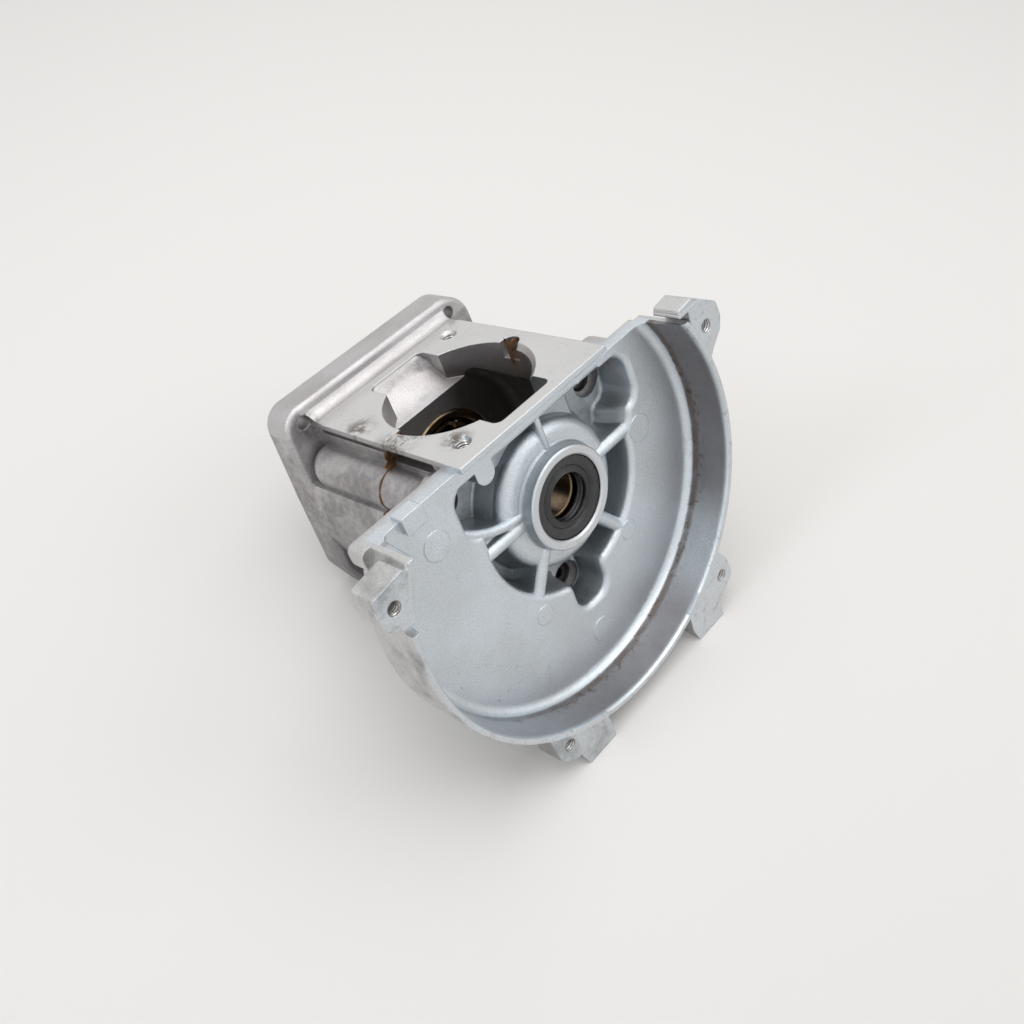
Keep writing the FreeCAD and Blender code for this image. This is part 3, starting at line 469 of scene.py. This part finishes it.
def smudged(net, settings, spot, shared, place, metal):
    """Metal under dark smudges, heavier on the body's sides and behind, and small specks; also their mask."""
    x, y, z = spot["X"], spot["Y"], spot["Z"]
    sides = net.all_of(net.span(y, 10.0, 22.0), net.span(z, SEAT_Z - 0.2, SEAT_Z - 2.5),
                       net.span(spot["From cylinder"], 30.0, 33.0))
    lower = net.math("ADD", 0.52, net.math("MULTIPLY", 0.16, net.span(z, 20.0, -30.0)))
    rubbed = net.all_of(net.span(spot["From shroud"], WALL_CORE_R + 1.0, WALL_CORE_R + 1.7),
                        net.span(y, 12.0, 8.0), net.span(x, 20.0, -40.0))
    heavy = net.any_of(net.math("MULTIPLY", sides, lower), times(net, rubbed, 0.34))
    smudge = grime_mask(net, shared, place, 52.0, net.math("ADD", 0.12, heavy), 0.16)
    metal = net.blend(times(net, smudge, 0.55), metal, colour4(settings.soot_colour))
    lower_left = net.all_of(net.span(x, -20.0, -50.0), net.span(z, -5.0, -30.0),
                            net.span(y, FLOOR_Y + 1.0, FLOOR_Y + 0.2))
    specked = net.math("ADD", 0.20, times(net, lower_left, 0.12))
    speck = grime_mask(net, shared, place, 420.0, specked, 0.03)
    return net.blend(times(net, speck, 0.6), metal, colour4(settings.soot_colour)), smudge


def chamber_oil_and_shade(net, spot):
    """Mask of oil and painted shade in the seal's bore, in the right of the opening and low in the crank
    chamber.
    """
    x, y, z = spot["X"], spot["Y"], spot["Z"]
    inner = net.all_of(net.span(spot["From crank"], 40.0, 33.0), net.span(y, 15.0, 22.0))
    far_side = net.math("MULTIPLY", net.span(x, 4.0, 14.0), net.span(z, 36.0, 30.0))
    low = net.math("MULTIPLY", inner, net.any_of(net.span(z, 20.0, 10.0), far_side))
    return net.any_of(net.all_of(net.span(spot["From crank"], 17.0, 14.6), net.span(y, 0.6, 1.6)), low)


def cast_metal(settings, shared):
    """Finish of both halves: grained cast skin, machined faces, oil stains, soot and small nicks.

    Painted shade darkens the pockets, the boss's nose, the right of the shroud's inner wall and the crank
    chamber; painted light lifts the low right of that wall.
    """
    material, net, shader, place = start_material("Cast aluminium", 0.94, 0.35)
    spot = place_group(net, shared["places"], [("Vector", place)])
    grain = place_group(net, shared["grain"], [("Vector", place), ("Grain", settings.grain)])
    marks = place_group(net, shared["marks"], [("Vector", place)])
    skin = cast_skin(net, settings, spot, grain)
    bright = net.blend(times(net, marks["Scratch"], 0.45), colour4(settings.machined_colour), SCRATCHED)
    bright = shade(net, bright, grain["Cloud"], 0.88, 1.10)
    metal = net.blend(spot["Machined"], skin, bright)
    metal, smudge = smudged(net, settings, spot, shared, place, metal)
    # dried oil inside the shroud, with painted shade on its right and painted light low on the right
    metal = wall_oil_and_shade(net, spot, shared, place, metal, colour4(settings.stain_colour))
    dirt = gathered_dirt(net, shared, place)
    metal = net.blend(times(net, dirt, 0.9), metal, CORNER_DIRT)
    # oil and painted shade in the seal's bore and in the chamber's low and far parts
    metal = net.blend(times(net, chamber_oil_and_shade(net, spot), 0.70), metal, CHAMBER_OIL_AND_SHADE)
    near_rim = net.math("MULTIPLY", net.span(spot["Y"], RIM_Y + 2.2, RIM_Y + 0.6),
                        grime_mask(net, shared, place, 300.0, 0.42, 0.05))
    metal = net.blend(times(net, near_rim, 0.40), metal, RIM_NICK)
    net.put(shader.inputs["Base Color"], metal)

    rough = net.math("ADD", 0.27, times(net, grain["Cloud"], 0.12))
    rough = net.math("SUBTRACT", rough, times(net, spot["Machined"], 0.05))
    rough = net.math("ADD", rough, times(net, net.any_of(smudge, dirt), 0.20))
    net.put(shader.inputs["Roughness"], rough)

    plain = net.math("SUBTRACT", 1.0, spot["Machined"])
    height = net.math("ADD", net.math("MULTIPLY", grain["Height"], plain),
                      times(net, net.math("MULTIPLY", marks["Height"], spot["Machined"]), 0.10))
    edge = net.add("ShaderNodeBevel", [("Radius", 0.0005)], samples=4)
    bump = net.add("ShaderNodeBump", [("Height", height), ("Strength", 0.75),
                                      ("Distance", settings.grain_height * 2.0), ("Normal", edge.outputs[0])])
    net.put(shader.inputs["Normal"], bump.outputs[0])
    return material


def seal_rubber(settings, shared):
    """Finish of the seals: dark rubber with fine moulded rings and a little dust."""
    material, net, shader, place = start_material("Seal rubber", 0.0, 0.34)
    spot = place_group(net, shared["places"], [("Vector", place)])
    dust = grime_mask(net, shared, place, 260.0, 0.50, 0.14)
    colour = net.blend(times(net, dust, 0.10), colour4(settings.colour), RUBBER_DUST)
    net.put(shader.inputs["Base Color"], colour)
    net.put(shader.inputs["Roughness"], net.math("ADD", 0.24, times(net, dust, 0.22)))
    turns = times(net, spot["From crank"], 2.0 * math.pi * MM / settings.ring_pitch)
    ring = net.math("ABSOLUTE", net.math("SINE", turns))
    bump = net.add("ShaderNodeBump", [("Height", ring), ("Strength", 0.5), ("Distance", 0.00012)])
    net.put(shader.inputs["Normal"], bump.outputs[0])
    return material


def oiled_steel(name, colour, roughness, shared, amount):
    """Finish of the bearing pieces: ground steel under brown oil."""
    material, net, shader, place = start_material(name, 1.0, roughness)
    oil = grime_mask(net, shared, place, 120.0, amount, 0.2)
    tone = net.blend(times(net, oil, 0.7), colour4(colour), BROWN_OIL)
    net.put(shader.inputs["Base Color"], tone)
    net.put(shader.inputs["Roughness"], net.math("ADD", roughness, times(net, oil, 0.16)))
    fine = net.noise(place, 3000.0, 2.0, 0.5)
    bump = net.add("ShaderNodeBump", [("Height", fine), ("Strength", 0.12), ("Distance", 0.00003)])
    net.put(shader.inputs["Normal"], bump.outputs[0])
    return material


def bright_thread(settings, shared):
    """Finish of the cut threads: bright metal with dirt in places."""
    material, net, shader, place = start_material("Cut thread", 0.9, 0.28)
    dirt = grime_mask(net, shared, place, 500.0, 0.55, 0.1)
    tone = net.blend(times(net, dirt, 0.6), colour4(settings.machined_colour), THREAD_DIRT)
    net.put(shader.inputs["Base Color"], tone)
    net.put(shader.inputs["Roughness"], net.math("ADD", 0.24, times(net, dirt, 0.25)))
    return material


def gasket_paper(settings, shared):
    """Finish of the gasket: fibrous brown paper, darker where oil has soaked in."""
    material, net, shader, place = start_material("Gasket paper", 0.0, 0.75)
    fibre = net.noise(place, 2600.0, 4.0, 0.7, 0.5)
    soak = grime_mask(net, shared, place, 180.0, 0.62, 0.2)
    tone = net.blend(soak, colour4(settings.colour), SOAKED_PAPER)
    tone = net.blend(times(net, net.span(fibre, 0.5, 0.75), 0.5), tone, PAPER_FIBRE)
    net.put(shader.inputs["Base Color"], tone)
    net.put(shader.inputs["Roughness"], net.math("SUBTRACT", 0.80, times(net, soak, 0.3)))
    bump = net.add("ShaderNodeBump", [("Height", fibre), ("Strength", 0.6), ("Distance", 0.00010)])
    net.put(shader.inputs["Normal"], bump.outputs[0])
    return material


def dress(names, material):
    """Give CAD nodes one material."""
    for name in names:
        node = nodes[name]
        node.data.materials.clear()
        node.data.materials.append(material)


# new surfaces
def mesh_object(name, points, faces, body, material):
    """Object at the origin from whole arrays of points in metres and quads."""
    mesh = bpy.data.meshes.new(name)
    mesh.from_pydata(points.tolist(), [], faces.tolist())
    mesh.polygons.foreach_set("use_smooth", np.full(len(faces), True))
    mesh.materials.append(material)
    mesh.update()
    made = bpy.data.objects.new(name, mesh)
    bpy.context.scene.collection.objects.link(made)
    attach(made, body)
    return made


def ring_faces(rows, columns):
    """Quads of a grid that closes on itself both ways."""
    i, j = np.meshgrid(np.arange(rows), np.arange(columns), indexing="ij")
    a = i * columns + j
    b = i * columns + (j + 1) % columns
    c = ((i + 1) % rows) * columns + (j + 1) % columns
    d = ((i + 1) % rows) * columns + j
    return np.stack([a, d, c, b], axis=-1).reshape(-1, 4)


def thread_sleeve(mouth, inward, radius, length, pitch, depth):
    """Thin sleeve with a helical ridge inside, as a closed grid.

    Inner radius = wall radius - depth x (1 - |2 frac(distance / pitch - angle / turn) - 1|), which fades
    out over the first and last half pitch; the outer row stays on the wall."""
    columns = 40
    rows_a_turn = 8
    clear = 0.00001
    rows = int(length / pitch * rows_a_turn) + 1
    run = np.linspace(0.0, length, rows)
    angle = np.linspace(0.0, 2 * math.pi, columns, endpoint=False)
    phase = run[:, None] / pitch - angle[None, :] / (2 * math.pi)
    ridge = 1.0 - np.abs(2.0 * (phase - np.floor(phase)) - 1.0)
    fade = np.clip(np.minimum(run, length - run) / (0.5 * pitch), 0.0, 1.0)[:, None]
    inner = radius - 3.0 * clear - depth * ridge * fade
    outer = np.full((rows, columns), radius - clear)
    r = np.concatenate([inner, outer[::-1]], axis=0)
    s = np.concatenate([run, run[::-1]])[:, None] * np.ones((1, columns))
    way = np.array(inward, float)
    side = np.array([0.0, 0.0, 1.0]) if abs(way[2]) < 0.5 else np.array([1.0, 0.0, 0.0])
    other = np.cross(way, side)
    points = (np.array(mouth, float)[None, None, :] + s[..., None] * way
              + (r * np.cos(angle))[..., None] * side + (r * np.sin(angle))[..., None] * other)
    return points.reshape(-1, 3), ring_faces(2 * rows, columns)


def join_parts(parts):
    """Several point and face arrays as one."""
    points, faces, count = [], [], 0
    for p, f in parts:
        points.append(p)
        faces.append(f + count)
        count += len(p)
    return np.concatenate(points), np.concatenate(faces)


def paper_scrap(corner, along, up, width, height, thickness, seed):
    """Torn strip of gasket paper as a closed sheet.

    A point is corner + u x along + v x height of the torn edge x up, bent sideways by a sum of two sines;
    the torn edge is 1 minus a few sines of u, and the back is the front moved by the thickness."""
    columns, rows = 26, 14
    u = np.linspace(0.0, 1.0, columns)[None, :]
    v = np.linspace(0.0, 1.0, rows)[:, None]
    torn = (0.72 + 0.16 * np.sin(7.0 * u + seed) + 0.08 * np.sin(19.0 * u + 2.1 * seed)
            + 0.04 * np.sin(43.0 * u))
    edge = np.sin(math.pi * np.clip(u * 1.15, 0.0, 1.0)) ** 0.35
    rise = v * torn * edge * height
    bend = 0.0007 * v * np.sin(3.0 * u + seed) + 0.00035 * v * v * np.sin(11.0 * u + 1.7 * seed)
    along, up = np.array(along, float), np.array(up, float)
    out = np.cross(along, up)
    base = np.array(corner, float)
    front = (base + (u * width)[..., None] * along + rise[..., None] * up
             + (bend + 0.5 * thickness)[..., None] * out)
    back = front - thickness * out
    sheet = np.concatenate([front, back[::-1]], axis=0)
    rows2 = 2 * rows
    i, j = np.meshgrid(np.arange(rows2), np.arange(columns - 1), indexing="ij")
    a = i * columns + j
    b = a + 1
    d = ((i + 1) % rows2) * columns + j
    faces = np.stack([a, b, d + 1, d], axis=-1).reshape(-1, 4)
    k = np.arange(rows - 1)
    left = np.stack([k, k + 1, rows2 - 2 - k, rows2 - 1 - k], axis=-1) * columns
    right = left[:, ::-1] + columns - 1
    return sheet.reshape(-1, 3), np.concatenate([faces, left, right])


def gasket_bead(width, proud):
    """Oily edge of the gasket that stands out along the left side, as a closed bead.

    The path runs round the screw lobe and then down the widened side, two arcs joined by a short line.
    A point is path + cos(a) x width / 2 along the crank + sin(a) x the bead's height outwards, and the
    height is proud x (1 + 0.4 sin(distance)), fading at both ends."""
    lobe = np.radians(np.linspace(73.0, 209.0, 46))
    side = np.radians(np.linspace(159.7, 197.0, 30))
    around = 10
    sunk = 0.00005
    path = np.concatenate([
        np.stack([SCREW_X + LOBE_R * np.cos(lobe), SCREW_Z + LOBE_R * np.sin(lobe)], axis=-1),
        np.stack([SIDE_R * np.cos(side), SIDE_R * np.sin(side)], axis=-1)]) * MM
    out = np.concatenate([np.stack([np.cos(lobe), np.sin(lobe)], axis=-1),
                          np.stack([np.cos(side), np.sin(side)], axis=-1)])
    count = len(path)
    run = np.linspace(0.0, 1.0, count)
    high = proud * (1.0 + 0.4 * np.sin(31.0 * run) + 0.2 * np.sin(83.0 * run)) * np.sin(math.pi * run) ** 0.3
    a = np.linspace(0.0, 2.0 * math.pi, around, endpoint=False)
    rise = high[:, None] * np.sin(a) - sunk
    x = path[:, :1] + out[:, :1] * rise
    z = path[:, 1:] + out[:, 1:] * rise
    y = SPLIT_Y * MM + 0.5 * width * np.cos(a)[None, :] * np.ones((count, 1))
    points = np.stack([x, y, z], axis=-1).reshape(-1, 3)
    i, j = np.meshgrid(np.arange(count - 1) * around, np.arange(around), indexing="ij")
    k = (j + 1) % around
    faces = np.stack([i + j, i + around + j, i + around + k, i + k], axis=-1).reshape(-1, 4)
    return points, faces


# operators
class CRANKCASE_OT_case_halves(bpy.types.Operator):
    """Cast and machined finish of both case halves"""
    bl_idname = "crankcase.case_halves"
    bl_label = "Case halves"

    def execute(self, context):
        dress(["fan_side_case", "starter_side_case"], cast_metal(context.scene.crankcase_casting, groups()))
        return {"FINISHED"}


class CRANKCASE_OT_seals(bpy.types.Operator):
    """Rubber finish of the two crank seals and oiled steel of their springs"""
    bl_idname = "crankcase.seals"
    bl_label = "Crank seals"

    def execute(self, context):
        scene = context.scene
        dress(["front_seal", "rear_seal"], seal_rubber(scene.crankcase_rubber, groups()))
        dress(["front_seal_spring", "rear_seal_spring"],
              oiled_steel("Spring steel", scene.crankcase_steel.bearing_colour, 0.30, groups(), 0.4))
        return {"FINISHED"}


class CRANKCASE_OT_bearings(bpy.types.Operator):
    """Oiled steel of the bearing rings, balls and cages"""
    bl_idname = "crankcase.bearings"
    bl_label = "Crank bearings"

    def execute(self, context):
        steel = context.scene.crankcase_steel
        shared = groups()
        rings = ["front_outer_ring", "rear_outer_ring", "front_inner_ring", "rear_inner_ring"]
        balls = ["front_balls", "rear_balls"]
        dress(rings, oiled_steel("Bearing steel", steel.bearing_colour, 0.24, shared, 0.62))
        dress(balls, oiled_steel("Ball steel", steel.bearing_colour, 0.10, shared, 0.35))
        dress(["front_cage", "rear_cage"], oiled_steel("Cage steel", steel.bearing_colour, 0.34, shared, 0.7))
        return {"FINISHED"}


class CRANKCASE_OT_fasteners(bpy.types.Operator):
    """Dark steel of the case screws and bright steel of the dowels"""
    bl_idname = "crankcase.fasteners"
    bl_label = "Screws and dowels"

    def execute(self, context):
        steel = context.scene.crankcase_steel
        shared = groups()
        dress(["case_screw_left", "case_screw_right", "case_screw_low"],
              oiled_steel("Screw steel", steel.screw_colour, 0.40, shared, 0.5))
        dress(["dowel_left", "dowel_right"],
              oiled_steel("Dowel steel", steel.bearing_colour, 0.22, shared, 0.3))
        return {"FINISHED"}


class CRANKCASE_OT_gasket(bpy.types.Operator):
    """Brown paper gasket and the torn bits that stand out of the joint"""
    bl_idname = "crankcase.gasket"
    bl_label = "Gasket"

    def execute(self, context):
        paper = context.scene.crankcase_paper
        material = gasket_paper(paper, groups())
        dress(["case_gasket"], material)
        y = SPLIT_Y * MM
        t = paper.thickness
        scraps = [gasket_bead(BEAD_WIDTH * MM, BEAD_HEIGHT * MM)]
        for (x, z), way, width, height, seed in SCRAPS:
            scraps.append(paper_scrap((x * MM, y, z * MM), (0.0, 0.0, 1.0), (way, 0.0, 0.0),
                                      width * MM, height * MM, t, seed))
        points, faces = join_parts(scraps)
        mesh_object("gasket_scraps", points, faces, "crankcase", material)
        return {"FINISHED"}


class CRANKCASE_OT_threads(bpy.types.Operator):
    """Cut threads in the cylinder seat and in the shroud's lugs"""
    bl_idname = "crankcase.threads"
    bl_label = "Threads"

    def execute(self, context):
        settings = context.scene.crankcase_threads
        material = bright_thread(context.scene.crankcase_casting, groups())
        start, length = SEAT_THREAD
        seat = [thread_sleeve((x * MM, y * MM, (SEAT_Z - start) * MM), (0, 0, -1), THREAD_R * MM, length * MM,
                              settings.pitch, settings.depth) for x, y in SEAT_HOLES]
        start, length = LUG_THREAD
        lugs = [thread_sleeve((x * MM, (RIM_Y + start) * MM, z * MM), (0, 1, 0), THREAD_R * MM, length * MM,
                              settings.pitch, settings.depth) for x, z in LUG_HOLES]
        for name, parts in (("seat_threads", seat), ("lug_threads", lugs)):
            points, faces = join_parts(parts)
            mesh_object(name, points, faces, "crankcase", material)
        return {"FINISHED"}


class CRANKCASE_OT_stage(bpy.types.Operator):
    """Pale floor, soft lamps, room light and the camera"""
    bl_idname = "crankcase.stage"
    bl_label = "Stage"

    def execute(self, context):
        settings = context.scene.crankcase_stage
        build_floor(settings)
        build_room(settings)
        build_lamps(settings)
        build_camera()
        view = context.scene.view_settings
        view.view_transform = "Standard"
        return {"FINISHED"}


def build_floor(settings):
    """Square floor under the feet, square to the way up; its underside is clear."""
    gap = 0.0002
    foot = np.array([0.0, cad_low[1], cad_low[2]]) - np.array(UP) * gap
    side = np.array([1.0, 0.0, 0.0])
    away = np.cross(np.array(UP), side)
    half = 3.0
    signs = np.array([(-1, -1), (1, -1), (1, 1), (-1, 1)], float)
    points = foot + signs[:, :1] * half * side + signs[:, 1:] * half * away
    mesh = bpy.data.meshes.new("floor")
    mesh.from_pydata(points.tolist(), [], [(0, 1, 2, 3)])
    mesh.update()
    material = bpy.data.materials.new("Floor")
    material.use_nodes = True
    tree = material.node_tree
    tree.nodes.clear()
    net = Net(tree)
    place = net.add("ShaderNodeTexCoord").outputs["Object"]
    cloud = net.noise(place, 3.0, 3.0, 0.5)
    tone = net.blend(times(net, cloud, 0.10), colour4(settings.floor_colour), FLOOR_CLOUD)
    matt = net.add("ShaderNodeBsdfPrincipled", [("Base Color", tone), ("Roughness", 0.7)])
    matt.inputs["Specular IOR Level"].default_value = 0.25
    clear = net.add("ShaderNodeBsdfTransparent")
    under = net.add("ShaderNodeNewGeometry").outputs["Backfacing"]
    both = net.add("ShaderNodeMixShader", [(0, under), (1, matt.outputs[0]), (2, clear.outputs[0])])
    net.add("ShaderNodeOutputMaterial", [(0, both.outputs[0])])
    mesh.materials.append(material)
    floor = bpy.data.objects.new("floor", mesh)
    bpy.context.scene.collection.objects.link(floor)


def build_room(settings):
    """Even room light; the camera, gloss and clear rays see white."""
    world = bpy.data.worlds.new("Room")
    bpy.context.scene.world = world
    world.use_nodes = True
    tree = world.node_tree
    tree.nodes.clear()
    net = Net(tree)
    path = net.add("ShaderNodeLightPath").outputs
    seen = net.any_of(path["Is Camera Ray"], path["Is Glossy Ray"], path["Is Transmission Ray"])
    light = net.add("ShaderNodeBackground", [("Color", (1.0, 0.975, 0.95, 1.0)), ("Strength", settings.sky)])
    white = net.add("ShaderNodeBackground", [("Color", (1.0, 1.0, 1.0, 1.0)), ("Strength", 1.0)])
    both = net.add("ShaderNodeMixShader", [(0, seen), (1, light.outputs[0]), (2, white.outputs[0])])
    net.add("ShaderNodeOutputWorld", [(0, both.outputs[0])])


def aimed(place, target):
    """Turn and place that look from one point at another."""
    place, target = Vector(place), Vector(target)
    turn = (target - place).to_track_quat("-Z", "Y").to_matrix().to_4x4()
    return Matrix.Translation(place) @ turn


def build_lamps(settings):
    """Large soft lamp above, a smaller cool one on the left and a weak wide one on the right."""
    centre = Vector((-0.005, 0.03, -0.02))
    right = Vector(CAMERA_RIGHT)
    near = right.cross(UP).normalized()
    key = settings.key
    lamps = (
        ("lamp_above", UP * 0.85 - right * 0.05 - near * 0.18, key, 0.85, (1.0, 0.99, 0.975)),
        ("lamp_left", UP * 0.72 - right * 0.75 + near * 0.35, key * 0.36, 0.30, (0.88, 0.95, 1.0)),
        ("lamp_right", UP * 0.62 + right * 0.72 - near * 0.05, key * 0.24, 0.50, (0.95, 0.98, 1.0)),
    )
    for name, place, power, size, colour in lamps:
        data = bpy.data.lights.new(name, "AREA")
        data.shape = "SQUARE"
        data.size = size
        data.energy = power
        data.color = colour
        lamp = bpy.data.objects.new(name, data)
        lamp.matrix_world = aimed(centre + place, centre)
        bpy.context.scene.collection.objects.link(lamp)


def build_camera():
    """Camera at the photograph's place, with its lens."""
    data = bpy.data.cameras.new("camera")
    data.sensor_width = 36.0
    data.lens = CAMERA_LENS
    data.clip_start = 0.01
    data.clip_end = 20.0
    turn = Matrix((CAMERA_RIGHT, CAMERA_UP, CAMERA_BACK)).transposed().to_4x4()
    camera = bpy.data.objects.new("camera", data)
    camera.matrix_world = Matrix.Translation(Vector(CAMERA_AT)) @ turn
    bpy.context.scene.collection.objects.link(camera)
    bpy.context.scene.camera = camera


class CRANKCASE_PT_sidebar(bpy.types.Panel):
    """Panel that lists the crankcase's pieces"""
    bl_label = "Crankcase"
    bl_idname = "CRANKCASE_PT_sidebar"
    bl_space_type = "VIEW_3D"
    bl_region_type = "UI"
    bl_category = "Crankcase"

    def draw(self, context):
        layout = self.layout
        for operator in OPERATORS:
            layout.operator(operator.bl_idname)
        for name, group in SETTINGS:
            box = layout.box()
            values = getattr(context.scene, name)
            for key in group.__annotations__:
                box.prop(values, key)


SETTINGS = (
    ("crankcase_casting", CastingSettings),
    ("crankcase_rubber", RubberSettings),
    ("crankcase_steel", SteelSettings),
    ("crankcase_paper", PaperSettings),
    ("crankcase_threads", ThreadSettings),
    ("crankcase_stage", StageSettings),
)
OPERATORS = (
    CRANKCASE_OT_case_halves,
    CRANKCASE_OT_seals,
    CRANKCASE_OT_bearings,
    CRANKCASE_OT_fasteners,
    CRANKCASE_OT_gasket,
    CRANKCASE_OT_threads,
    CRANKCASE_OT_stage,
)


def register():
    """Register the settings, operators and panel."""
    for name, group in SETTINGS:
        bpy.utils.register_class(group)
        setattr(bpy.types.Scene, name, bpy.props.PointerProperty(type=group))
    for operator in OPERATORS:
        bpy.utils.register_class(operator)
    bpy.utils.register_class(CRANKCASE_PT_sidebar)


def unregister():
    """Take the classes away again."""
    bpy.utils.unregister_class(CRANKCASE_PT_sidebar)
    for operator in reversed(OPERATORS):
        bpy.utils.unregister_class(operator)
    for name, group in reversed(SETTINGS):
        delattr(bpy.types.Scene, name)
        bpy.utils.unregister_class(group)


def main():
    """Build everything in order."""
    register()
    bpy.ops.crankcase.case_halves()
    bpy.ops.crankcase.seals()
    bpy.ops.crankcase.bearings()
    bpy.ops.crankcase.fasteners()
    bpy.ops.crankcase.gasket()
    bpy.ops.crankcase.threads()
    bpy.ops.crankcase.stage()


if __name__ == "__main__":
    main()
